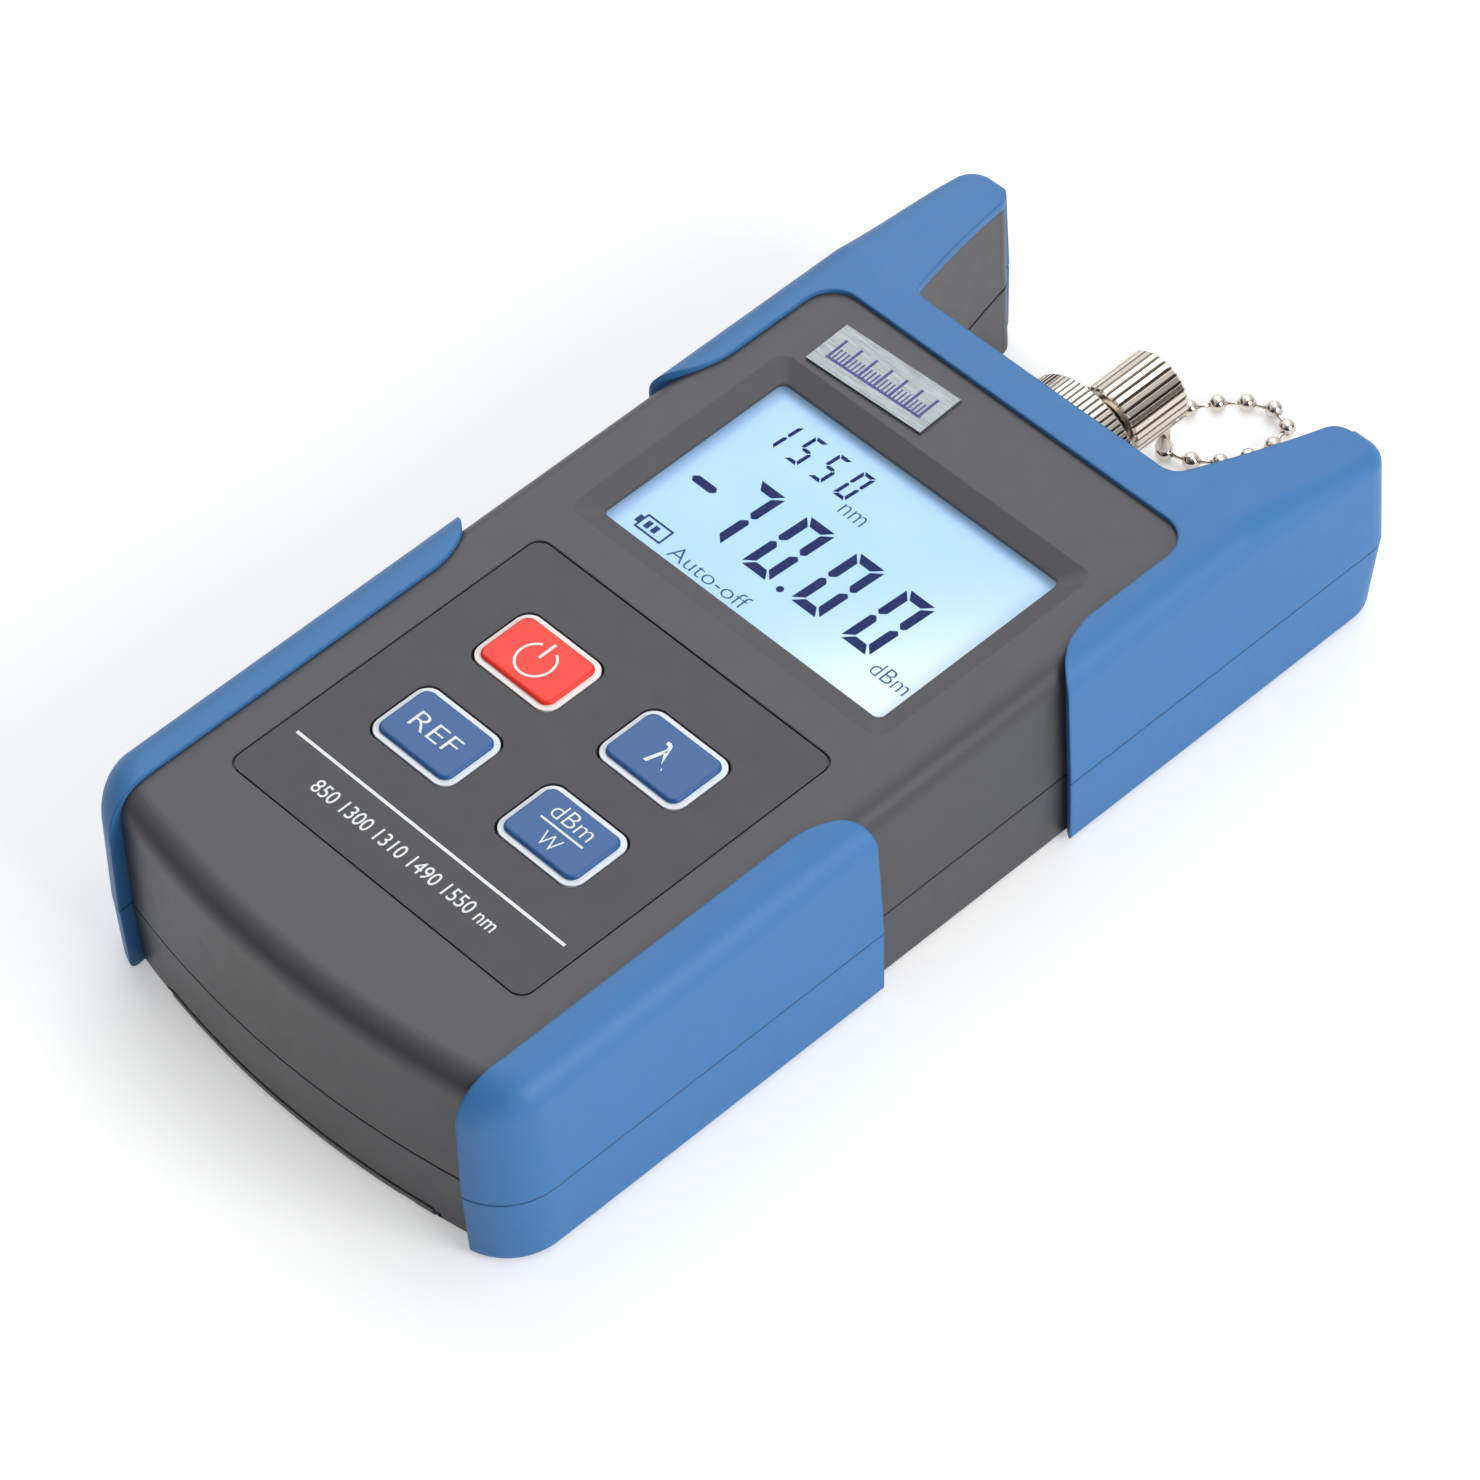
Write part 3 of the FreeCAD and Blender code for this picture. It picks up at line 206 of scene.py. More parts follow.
def arc_band(centre: tuple[float, float], inner: float, outer: float, start: float, end: float,
             steps: int) -> tuple[np.ndarray, np.ndarray]:
    """Flat band between two radii, from one angle to another.

    Args:
        centre: plan centre.
        inner: inner radius.
        outer: outer radius.
        start: first angle in degrees, anticlockwise from +X.
        end: last angle.
        steps: number of quads along the band.

    Returns:
        The plan points, inner and outer in turn, and the quads.
    """
    turn = np.radians(np.linspace(start, end, steps + 1))
    round_way = np.column_stack([np.cos(turn), np.sin(turn)])
    points = np.stack([round_way * inner, round_way * outer], 1).reshape(-1, 2) + np.array(centre)
    i = np.arange(steps) * 2
    return points, np.column_stack([i, i + 1, i + 3, i + 2])


# ---- finishes ----

class Graph:
    """Node tree of one material."""

    def __init__(self, name: str) -> None:
        """Starts an empty material of that name."""
        self.material = bpy.data.materials.new(name)
        self.material.use_nodes = True
        self.tree = self.material.node_tree
        self.tree.nodes.clear()

    def node(self, kind: str, values: Mapping[object, object] | None = None,
             **settings: object) -> bpy.types.Node:
        """Adds a node.

        Args:
            kind: the node's type without its ShaderNode prefix.
            values: socket values by name or number; a socket given as a value is linked.
            settings: other properties of the node.

        Returns:
            The node.
        """
        made = self.tree.nodes.new("ShaderNode" + kind)
        for key, value in settings.items():
            setattr(made, key, value)
        for key, value in (values or {}).items():
            if isinstance(value, bpy.types.NodeSocket):
                self.tree.links.new(value, made.inputs[key])
            else:
                made.inputs[key].default_value = value
        return made

    def place(self) -> bpy.types.NodeSocket:
        """The object's own coordinates in metres."""
        return self.node("TexCoord").outputs["Object"]

    def noise(self, size: float, detail: float = 2.0, stretch: Point = (1, 1, 1)) -> bpy.types.NodeSocket:
        """Noise whose lumps have about the given size, stretched along each axis."""
        scaled = self.node("Mapping", {"Vector": self.place(), "Scale": tuple(1 / s for s in stretch)})
        made = self.node("TexNoise", {"Vector": scaled.outputs[0], "Scale": 1 / size, "Detail": detail})
        return made.outputs["Fac"]

    def between(self, share: bpy.types.NodeSocket, low: float, high: float,
                start: float = 0.0, end: float = 1.0) -> bpy.types.NodeSocket:
        """Share from start to end turned into low to high."""
        made = self.node("MapRange", {"Value": share, "From Min": start, "From Max": end,
                                      "To Min": low, "To Max": high})
        return made.outputs["Result"]

    def blend(self, share: bpy.types.NodeSocket, first: object, second: object) -> bpy.types.NodeSocket:
        """Colour that goes from the first to the second as share goes from 0 to 1."""
        made = self.node("Mix", data_type="RGBA")
        for number, value in ((0, share), (6, first), (7, second)):
            if isinstance(value, bpy.types.NodeSocket):
                self.tree.links.new(value, made.inputs[number])
            else:
                made.inputs[number].default_value = (*value, 1.0)
        return made.outputs[2]

    def axis(self, letter: str) -> bpy.types.NodeSocket:
        """One of the object's coordinates."""
        return self.node("SeparateXYZ", {0: self.place()}).outputs[letter]

    def surface(self, shader: bpy.types.NodeSocket) -> bpy.types.Material:
        """Ends the tree with this shader and returns the material."""
        self.node("OutputMaterial", {"Surface": shader})
        return self.material


def paint(red: float, green: float, blue: float) -> Colour:
    """Linear colour from the 0 to 255 numbers of a paint chart."""
    chart = np.array((red, green, blue)) / 255
    linear = np.where(chart <= 0.04045, chart / 12.92, ((chart + 0.055) / 1.055) ** 2.4)
    return tuple(float(c) for c in linear)


def shade(colour: Colour, share: float) -> Colour:
    """The colour made darker or lighter by a share."""
    return tuple(min(1.0, c * share) for c in colour)


@dataclass(frozen=True)
class Moulding:
    """Moulded plastic or rubber with a spark-eroded grain, faint mottling and eased edges."""

    name: str
    colour: Colour
    roughness: float
    grain: float = 0.28 * MM
    depth: float = 0.02 * MM
    mottle: float = 0.05
    ease: float = 0.35 * MM
    sheen: float = 0.0
    gloss: float = 0.5

    def material(self) -> bpy.types.Material:
        """Builds the node material."""
        g = Graph(self.name)
        cloudy = g.noise(14 * MM, 3.0)
        speck = g.noise(self.grain * 1.6, 1.0)
        tone = g.blend(cloudy, shade(self.colour, 1 - self.mottle), shade(self.colour, 1 + self.mottle))
        tone = g.blend(g.between(speck, 0.0, 0.16, 0.35, 0.75), tone, shade(self.colour, 1.35))
        eased = g.node("Bevel", {"Radius": self.ease}, samples=4).outputs[0]
        bump = g.node("Bump", {"Strength": 0.55, "Distance": self.depth, "Normal": eased,
                               "Height": g.noise(self.grain, 2.0)})
        shader = g.node("BsdfPrincipled", {
            "Base Color": tone, "Normal": bump.outputs[0], "Specular IOR Level": self.gloss,
            "Sheen Weight": self.sheen, "Sheen Roughness": 0.45,
            "Roughness": g.between(g.noise(3 * MM, 3.0), self.roughness - 0.05, self.roughness + 0.05)})
        return g.surface(shader.outputs[0])


@dataclass(frozen=True)
class Plating:
    """Polished or satin metal with fine rub marks, and painted shade darkening its narrow grooves."""

    name: str
    colour: Colour
    roughness: float
    stretch: Point = (1, 1, 1)
    size: float = 0.25 * MM
    ease: float = 0.12 * MM
    # share of the colour kept in narrow grooves as painted shade; 1.0 paints none
    groove: float = 1.0

    def material(self) -> bpy.types.Material:
        """Builds the node material; painted shade darkens narrow grooves, which keep the given share of the
        colour.
        """
        g = Graph(self.name)
        rub = g.noise(self.size, 3.0, self.stretch)
        tone = g.blend(g.noise(5 * MM), shade(self.colour, 0.94), shade(self.colour, 1.04))
        # painted shade: ambient occlusion darkens the colour in grooves and recesses, where shade falls
        unshaded_share = g.node("AmbientOcclusion", {"Distance": 0.7 * MM}, samples=8).outputs["AO"]
        tone = g.blend(g.between(unshaded_share, 0.0, 1.0, 0.45, 0.95), shade(self.colour, self.groove), tone)
        eased = g.node("Bevel", {"Radius": self.ease}, samples=4).outputs[0]
        bump = g.node("Bump", {"Strength": 0.2, "Distance": 0.006 * MM, "Normal": eased, "Height": rub})
        shader = g.node("BsdfPrincipled", {
            "Base Color": tone, "Metallic": 1.0, "Normal": bump.outputs[0],
            "Roughness": g.between(rub, self.roughness * 0.7, self.roughness * 1.4, 0.3, 0.7)})
        return g.surface(shader.outputs[0])


@dataclass(frozen=True)
class KeyPad:
    """Rubber key: a coloured domed pad over a pale rim, told apart by height."""

    name: str
    pad: Colour
    rim: Colour
    rim_height: float

    def material(self) -> bpy.types.Material:
        """Builds the node material."""
        g = Graph(self.name)
        above = g.between(g.axis("Z"), 0.0, 1.0, self.rim_height, self.rim_height + 0.12 * MM)
        cloudy = g.noise(4 * MM, 3.0)
        pad = g.blend(cloudy, shade(self.pad, 0.94), shade(self.pad, 1.05))
        rim = g.blend(cloudy, shade(self.rim, 0.95), self.rim)
        eased = g.node("Bevel", {"Radius": 0.2 * MM}, samples=4).outputs[0]
        bump = g.node("Bump", {"Strength": 0.3, "Distance": 0.01 * MM, "Normal": eased,
                               "Height": g.noise(0.2 * MM, 2.0)})
        shader = g.node("BsdfPrincipled", {
            "Base Color": g.blend(above, rim, pad), "Normal": bump.outputs[0],
            "Roughness": g.between(g.noise(2 * MM, 2.0), 0.32, 0.42)})
        return g.surface(shader.outputs[0])


@dataclass(frozen=True)
class Ink:
    """Printed or lit mark, with a slightly uneven lay-down."""

    name: str
    colour: Colour
    roughness: float = 0.5
    gloss: float = 0.5

    def material(self) -> bpy.types.Material:
        """Builds the node material."""
        g = Graph(self.name)
        tone = g.blend(g.noise(1.2 * MM, 3.0), shade(self.colour, 0.93), shade(self.colour, 1.03))
        shader = g.node("BsdfPrincipled", {
            "Base Color": tone, "Specular IOR Level": self.gloss,
            "Roughness": g.between(g.noise(0.5 * MM), self.roughness - 0.06, self.roughness + 0.06)})
        return g.surface(shader.outputs[0])


@dataclass(frozen=True)
class LitGlass:
    """Back-lit liquid-crystal glass, paler towards one far corner."""

    name: str
    near: Colour
    far: Colour
    start: tuple[float, float]
    end: tuple[float, float]
    glow: float

    def material(self) -> bpy.types.Material:
        """Builds the node material; the share is how far a point lies from start to end."""
        g = Graph(self.name)
        step = np.array(self.end) - np.array(self.start)
        pull = step / float(step @ step)
        across = g.node("Math", {0: g.axis("X"), 1: float(pull[0])}, operation="MULTIPLY")
        along = g.node("Math", {0: g.axis("Y"), 1: float(pull[1]), 2: across.outputs[0]},
                       operation="MULTIPLY_ADD")
        shift = float(np.array(self.start) @ pull)
        share = g.node("MapRange", {"Value": along.outputs[0], "From Min": shift, "From Max": shift + 1},
                       interpolation_type="SMOOTHSTEP")
        tone = g.blend(share.outputs[0], self.near, self.far)
        tone = g.blend(g.between(g.noise(9 * MM, 2.0), 0.0, 0.12), tone, self.far)
        shader = g.node("BsdfPrincipled", {
            "Base Color": tone, "Emission Color": tone, "Emission Strength": self.glow,
            "Roughness": g.between(g.noise(1 * MM), 0.28, 0.34)})
        return g.surface(shader.outputs[0])


@dataclass(frozen=True)
class ClearPane:
    """Thin clear pane: see-through, with a gloss on its outer faces that grows at a slant."""

    name: str
    tint: Colour

    def material(self) -> bpy.types.Material:
        """Builds the node material."""
        g = Graph(self.name)
        smear = g.between(g.noise(8 * MM, 3.0), 0.02, 0.09)
        gloss = g.node("BsdfAnisotropic", {"Color": (1, 1, 1, 1), "Roughness": smear})
        tone = g.blend(g.noise(20 * MM), self.tint, shade(self.tint, 0.99))
        clear = g.node("BsdfTransparent", {"Color": tone})
        edge = g.node("Fresnel", {"IOR": 1.13})
        outer = g.node("Math", {0: 1.0, 1: g.node("NewGeometry").outputs["Backfacing"]}, operation="SUBTRACT")
        share = g.node("Math", {0: edge.outputs[0], 1: outer.outputs[0]}, operation="MULTIPLY")
        mixed = g.node("MixShader", {0: share.outputs[0], 1: clear.outputs[0], 2: gloss.outputs[0]})
        return g.surface(mixed.outputs[0])


@dataclass(frozen=True)
class CellWrap:
    """Battery sleeve: dark wrap with a lighter metallic shoulder, by distance along each cell."""

    name: str
    body: Colour
    shoulder: Colour
    band: float

    def material(self) -> bpy.types.Material:
        """Builds the node material."""
        g = Graph(self.name)
        wave = g.node("Math", {0: g.axis("X"), 1: self.band}, operation="PINGPONG")
        share = g.between(wave.outputs[0], 1.0, 0.0, self.band * 0.28, self.band * 0.3)
        tone = g.blend(share, self.body, self.shoulder)
        tone = g.blend(g.between(g.noise(2 * MM), 0.0, 0.2), tone, shade(self.body, 1.6))
        shader = g.node("BsdfPrincipled", {"Base Color": tone, "Metallic": share, "Roughness": 0.33})
        return g.surface(shader.outputs[0])


@dataclass(frozen=True)
class BoardMask:
    """Solder mask with faint copper tracks underneath."""

    name: str
    mask: Colour
    track: Colour

    def material(self) -> bpy.types.Material:
        """Builds the node material."""
        g = Graph(self.name)
        cells = g.node("TexVoronoi", {"Vector": g.place(), "Scale": 1 / (3.2 * MM)},
                       distance="CHEBYCHEV", feature="F1")
        share = g.between(cells.outputs["Distance"], 1.0, 0.0, 0.42, 0.46)
        tone = g.blend(share, self.mask, self.track)
        shader = g.node("BsdfPrincipled", {"Base Color": tone,
                                           "Roughness": g.between(g.noise(1 * MM), 0.3, 0.45)})
        return g.surface(shader.outputs[0])


@dataclass(frozen=True)
class StudioPaper:
    """White floor that keeps soft shadows and looks pure white where it is fully lit."""

    name: str
    white: float
    lift: float

    def material(self) -> bpy.types.Material:
        """Builds the node material; the lift is seen by the camera, reflections and clear parts only."""
        g = Graph(self.name)
        rays = g.node("LightPath")
        seen = g.node("Math", {0: rays.outputs["Is Camera Ray"], 1: rays.outputs["Is Glossy Ray"]},
                      operation="MAXIMUM")
        seen = g.node("Math", {0: seen.outputs[0], 1: rays.outputs["Is Transmission Ray"]},
                      operation="MAXIMUM")
        power = g.node("Math", {0: seen.outputs[0], 1: self.lift}, operation="MULTIPLY")
        body = g.node("BsdfDiffuse", {"Color": (self.white,) * 3 + (1,)})
        glow = g.node("Emission", {"Color": (1, 1, 1, 1), "Strength": power.outputs[0]})
        both = g.node("AddShader", {0: body.outputs[0], 1: glow.outputs[0]})
        return g.surface(both.outputs[0])


WHITE_INK = Ink("white_print", paint(236, 239, 242))
GREY_PLASTIC = Moulding("grey_plastic", paint(62, 62, 65), 0.42, mottle=0.03)
BLUE_RUBBER = Moulding("blue_skin", paint(50, 113, 172), 0.5, mottle=0.03, sheen=0.05, ease=0.6 * MM)
PANEL_FILM = Moulding("panel_film", paint(54, 54, 58), 0.5, grain=0.2 * MM, depth=0.01 * MM, mottle=0.02,
                      ease=0.1 * MM)
FRAME_BLACK = Moulding("frame_black", paint(32, 32, 34), 0.5)
RUBBER_BLACK = Moulding("rubber_black", paint(26, 26, 27), 0.7, grain=0.15 * MM)
CHIP_BLACK = Moulding("chip_black", paint(30, 31, 33), 0.6, grain=0.1 * MM, ease=0.08 * MM)
LIGHT_WHITE = Moulding("light_white", paint(225, 232, 238), 0.35, ease=0.1 * MM)
# painted shade: the nickel's knurl grooves keep 0.32 of its colour
NICKEL = Plating("nickel", (0.70, 0.64, 0.57), 0.12, groove=0.32)
STEEL = Plating("steel", (0.62, 0.61, 0.60), 0.28)
BADGE_SILVER = Plating("badge_silver", (0.29, 0.32, 0.33), 0.5, stretch=(14, 0.6, 1), size=0.2 * MM)
CLEAR = ClearPane("window_clear", (0.97, 0.985, 1.0))
CELLS = CellWrap("cell_wrap", paint(34, 36, 40), (0.78, 0.50, 0.27), 50.0 * MM)
BOARD = BoardMask("board_green", paint(24, 84, 52), paint(44, 112, 66))


# ---- sub-assemblies ----

@dataclass
class Dresser:
    """Gives CAD nodes their finishes; each finish is built once."""

    made: dict[str, bpy.types.Material] = field(default_factory=dict)

    def material(self, finish: object) -> bpy.types.Material:
        """The node material of a finish, built the first time it is asked for."""
        if finish.name not in self.made:
            self.made[finish.name] = finish.material()
        return self.made[finish.name]

    def dress(self, finish: object, *nodes: str) -> None:
        """Puts a finish on every slot of these CAD nodes."""
        for name in nodes:
            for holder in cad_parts[name].material_slots:
                holder.material = self.material(finish)
            log.info("%s: %s", name, finish.name)


@dataclass
class Housing:
    """Grey shells, battery cover, soft skins and everything shut inside them."""

    dresser: Dresser

    def build(self) -> None:
        """Dresses the housing's own CAD nodes."""
        d = self.dresser
        d.dress(GREY_PLASTIC, "upper_shell", "lower_shell", "battery_cover")
        d.dress(BLUE_RUBBER, "crown_bumper", "grip_upper_left", "grip_upper_right", "grip_lower_left",
                "grip_lower_right", "horn_lower_left", "horn_lower_right")
        d.dress(BOARD, "main_board")
        d.dress(CHIP_BLACK, "board_chips")
        d.dress(STEEL, "key_switches", "board_screws", "case_screws", "contact_plates", "contact_springs",
                "detector")
        d.dress(CELLS, "battery_cells")


class Segment(Enum):
    """The seven strokes of a digit, by their usual letters."""

    TOP = "A"
    UPPER_RIGHT = "B"
    LOWER_RIGHT = "C"
    BOTTOM = "D"
    LOWER_LEFT = "E"
    UPPER_LEFT = "F"
    MIDDLE = "G"


DIGIT_STROKES = {"0": "ABCDEF", "1": "BC", "5": "ACDFG", "7": "ABC"}


@dataclass
class DigitRow:
    """A row of leaning seven-stroke digits."""

    left: float
    low: float
    width: float
    tall: float
    pitch: float
    stroke: float
    gap: float
    lean: float

    def stroke_corners(self, which: Segment) -> np.ndarray:
        """Corners of one stroke in a digit's own upright rectangle.

        The level strokes are trapezia with mitred ends, the upright strokes have one mitred end
        and one blunt point at mid height, and the middle stroke is pointed at both ends.
        """
        w, h, t, g = self.width, self.tall, self.stroke, self.gap
        top = np.array([(g, h), (t + g * 0.4, h - t), (w - t - g * 0.4, h - t), (w - g, h)])
        right = np.array([(w, h - g), (w - t, h - t - g * 0.4), (w - t, h / 2 + t * 0.62),
                          (w - t * 0.45, h / 2 + g * 0.5), (w, h / 2 + t * 0.45)])
        flip_x, flip_y = np.array((-1, 1)), np.array((1, -1))
        shapes = {
            Segment.TOP: top,
            Segment.BOTTOM: (top * flip_y + (0, h))[::-1],
            Segment.UPPER_RIGHT: right,
            Segment.UPPER_LEFT: (right * flip_x + (w, 0))[::-1],
            Segment.LOWER_RIGHT: (right * flip_y + (0, h))[::-1],
            Segment.LOWER_LEFT: right * -1 + (w, h),
            Segment.MIDDLE: np.array([(t * 0.7, h / 2), (t * 1.2, h / 2 - t / 2), (w - t * 1.2, h / 2 - t / 2),
                                      (w - t * 0.7, h / 2), (w - t * 1.2, h / 2 + t / 2),
                                      (t * 1.2, h / 2 + t / 2)]),
        }
        return shapes[which]

    def write(self, digits: str, height: float, into: Shapes) -> None:
        """Adds the strokes of some digits; a point (x, y) leans to x + lean * y / tall.

        Args:
            digits: the digits, left to right.
            height: z of the strokes.
            into: the piece that collects them.
        """
        for place, digit in enumerate(digits):
            for letter in DIGIT_STROKES[digit]:
                corners = self.stroke_corners(Segment(letter)).copy()
                corners[:, 0] += self.left + place * self.pitch + corners[:, 1] * self.lean / self.tall
                corners[:, 1] += self.low
                into.outline(corners, height)


@dataclass
class Display:
    """Window, lit glass and the picture on it."""

    dresser: Dresser
    above_glass: float = 0.02 * MM
    reading: DigitRow = field(default_factory=lambda: DigitRow(
        -17.95 * MM, 8.4 * MM, 5.5 * MM, 12.7 * MM, 9.85 * MM, 1.5 * MM, 0.42 * MM, 0.75 * MM))
    wavelength: DigitRow = field(default_factory=lambda: DigitRow(
        -22.7 * MM, 26.3 * MM, 2.45 * MM, 6.0 * MM, 4.8 * MM, 0.62 * MM, 0.2 * MM, 0.5 * MM))

    def build(self) -> None:
        """Dresses the display and draws its picture just above the glass."""
        d = self.dresser
        low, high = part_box("display_glass")
        glass = LitGlass("display_blue", paint(168, 206, 243), paint(238, 249, 255),
                         (high.x * 0.25, high.y * 0.5), (high.x * 1.05, low.y + 4 * MM), 0.26)
        d.dress(glass, "display_glass")
        d.dress(CLEAR, "display_window")
        d.dress(LIGHT_WHITE, "display_light")
        d.dress(FRAME_BLACK, "display_frame")
        d.dress(RUBBER_BLACK, "contact_strips")
        z = high.z + self.above_glass
        self.numbers(z)
        self.symbols(z)

    def numbers(self, z: float) -> None:
        """The reading, its minus sign and point, and the wavelength."""
        big = Shapes()
        self.reading.write("7000", z, big)
        big.outline(np.array([(-24.5, 15.0), (-23.9, 14.3), (-20.4, 14.3), (-19.7, 15.0), (-20.3, 15.7),
                              (-23.8, 15.7)]) * MM, z)
        dot, quads = arc_band((-0.35 * MM, 8.7 * MM), 0.02 * MM, 0.58 * MM, 0, 360, 20)
        big.add(np.column_stack([dot, np.full(len(dot), z)]), quads)
        ink = self.dresser.material(Ink("segment_navy", paint(12, 34, 96), 0.4, 0.1))
        self.finish(big.piece("display_reading", ink))
        small = Shapes()
        self.wavelength.write("1550", z, small)
        self.finish(small.piece("display_wavelength", ink))

    def symbols(self, z: float) -> None:
        """Units, the words for the sleep timer and the battery mark."""
        pale = self.dresser.material(Ink("segment_slate", paint(66, 100, 140), 0.4, 0.1))
        for name, words, box in (("display_nm", "nm", (-5.2, -0.8, 24.3, 26.2)),
                                 ("display_timer", "Auto-off", (-16.4, -1.4, 2.2, 4.7)),
                                 ("display_unit", "dBm", (19.0, 25.6, 6.6, 9.2))):
            self.finish(lettering(name, words, tuple(v * MM for v in box), z, pale, -0.012))
        mark = Shapes()
        left, right, low, high, line = -23.6, -18.4, 2.8, 5.8, 0.34
        for corners in ((left, right, low, low + line), (left, right, high - line, high),
                        (left, left + line, low + line, high - line),
                        (right - line, right, low + line, high - line),
                        (left - 0.7, left, 3.6, 5.0), (left + 1.0, left + 1.9, low + 0.8, high - 0.8),
                        (left + 2.4, left + 3.3, low + 0.8, high - 0.8)):
            mark.outline(bar(*corners) * MM, z)
        dark = self.dresser.material(Ink("segment_indigo", paint(40, 66, 122), 0.4, 0.1))
        self.finish(mark.piece("display_battery_mark", dark))

    def finish(self, piece: bpy.types.Object) -> None:
        """Fixes a mark to the housing."""
        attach(piece, "housing")
        log.info("%s", piece.name)


@dataclass
class Keypad:
    """Front panel, keys and their legends."""

    dresser: Dresser
    above: float = 0.025 * MM
    rule: tuple[float, float, float] = (26.7 * MM, -56.4 * MM, 0.5 * MM)
    scale_box: tuple[float, float, float, float] = (-18 * MM, 18 * MM, -62.0 * MM, -59.6 * MM)
    power_ring: tuple[float, float] = (2.75 * MM, 3.15 * MM)
    power_drop: float = 0.3 * MM
    power_gap: float = 28.0
    power_bar: tuple[float, float, float] = (0.23 * MM, 0.3 * MM, 3.5 * MM)

    def build(self) -> None:
        """Dresses the panel and the keys and prints them."""
        d = self.dresser
        d.dress(PANEL_FILM, "keypad_panel")
        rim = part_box("keypad_panel")[1].z + 0.02 * MM
        blue = KeyPad("key_blue", paint(26, 86, 148), paint(232, 238, 245), rim)
        red = KeyPad("key_red", paint(246, 44, 18), paint(246, 240, 238), rim)
        d.dress(red, "key_power")
        d.dress(blue, "key_reference", "key_wavelength", "key_unit")
        ink = d.material(WHITE_INK)
        self.power_mark(ink)
        self.letters("key_reference", "REF", (8.5, 3.0), (0, 0), ink)
        self.letters("key_wavelength", "λ", (3.4, 4.6), (0, 0), ink, 0.012)
        self.letters("key_unit", "dBm", (7.4, 2.7), (0, 2.3), ink)
        self.letters("key_unit", "W", (3.3, 2.5), (0, -2.3), ink)
        x, y, z = self.centre("key_unit")
        rule = Shapes()
        rule.outline(bar(x - 4.1 * MM, x + 4.1 * MM, y - 0.17 * MM, y + 0.17 * MM), z)
        self.fix(rule.piece("key_unit_rule", ink), "key_unit")
        self.panel_print(ink)

    def centre(self, key: str) -> Point:
        """Middle of a key's pad, just above its top."""
        low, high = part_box(key)
        return (low.x + high.x) / 2, (low.y + high.y) / 2, high.z + self.above

    def letters(self, key: str, words: str, size: tuple[float, float], shift: tuple[float, float],
                ink: bpy.types.Material, weight: float = -0.01) -> None:
        """Prints letters on a key.

        Args:
            key: the CAD node and body of the key.
            words: the characters.
            size: width and height of the print in millimetres.
            shift: offset from the middle of the pad in millimetres.
            ink: material of the print.
            weight: how much the strokes are thickened, as a share of the letter size.
        """
        x, y, z = self.centre(key)
        x, y = x + shift[0] * MM, y + shift[1] * MM
        half = (size[0] / 2 * MM, size[1] / 2 * MM)
        box = (x - half[0], x + half[0], y - half[1], y + half[1])
        self.fix(lettering(f"{key}_{'_'.join(str(ord(c)) for c in words)}", words, box, z, ink, weight),
                 key)

    def power_mark(self, ink: bpy.types.Material) -> None:
        """Broken ring with a bar standing in its gap."""
        x, y, z = self.centre("key_power")
        mark = Shapes()
        points, quads = arc_band((x, y - self.power_drop), *self.power_ring, 90 + self.power_gap,
                                 450 - self.power_gap, 40)
        mark.add(np.column_stack([points, np.full(len(points), z)]), quads)
        half, foot, top = self.power_bar
        mark.outline(bar(x - half, x + half, y + foot, y + top), z)
        self.fix(mark.piece("key_power_mark", ink), "key_power")

    def panel_print(self, ink: bpy.types.Material) -> None:
        """Rule across the panel and the line of wavelengths under it."""
        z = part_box("keypad_panel")[1].z + self.above
        half, y, thick = self.rule
        rule = Shapes()
        rule.outline(bar(-half, half, y - thick / 2, y + thick / 2), z)
        self.fix(rule.piece("panel_rule", ink), "housing")
        self.fix(lettering("panel_numbers", "850 1300 1310 1490 1550 nm", self.scale_box, z, ink, 0.006),
                 "housing")

    def fix(self, piece: bpy.types.Object, body: str) -> None:
        """Makes a print move with its body."""
        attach(piece, body)
        log.info("%s on %s", piece.name, body)


@dataclass
class Badge:
    """Bare brushed plate with a plain graduated scale."""

    dresser: Dresser
    turn: float = math.radians(2.4)
    ticks: int = 25
    span: float = 17.5 * MM
    base: float = -1.9 * MM
    long_tick: float = 3.9 * MM
    short_tick: float = 2.1 * MM
    width: float = 0.26 * MM
    major_every: int = 4
    major_weight: float = 1.7
    line: float = 0.45 * MM
    overhang: float = 0.3 * MM
    above: float = 0.02 * MM

    def build(self) -> None:
        """Dresses the plate and prints the scale on it."""
        self.dresser.dress(BADGE_SILVER, "badge_plate")
        low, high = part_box("badge_plate")
        centre = np.array(((low.x + high.x) / 2, (low.y + high.y) / 2))
        cosine, sine = math.cos(self.turn), math.sin(self.turn)
        turn = np.array([(cosine, sine), (-sine, cosine)])
        z = high.z + self.above
        scale = Shapes()
        for number in range(self.ticks):
            x = (number / (self.ticks - 1) - 0.5) * self.span
            major = number % self.major_every == 0
            tall = self.long_tick if major else self.short_tick
            thick = self.width * (self.major_weight if major else 1.0)
            corners = bar(x - thick / 2, x + thick / 2, self.base, self.base + tall)
            scale.outline(corners @ turn + centre, z)
        half = self.span / 2 + self.overhang
        scale.outline(bar(-half, half, self.base - self.line, self.base) @ turn + centre, z)
        ink = self.dresser.material(Ink("violet_print", paint(66, 66, 140)))
        piece = scale.piece("badge_scale", ink)
        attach(piece, "housing")
        log.info("%s", piece.name)


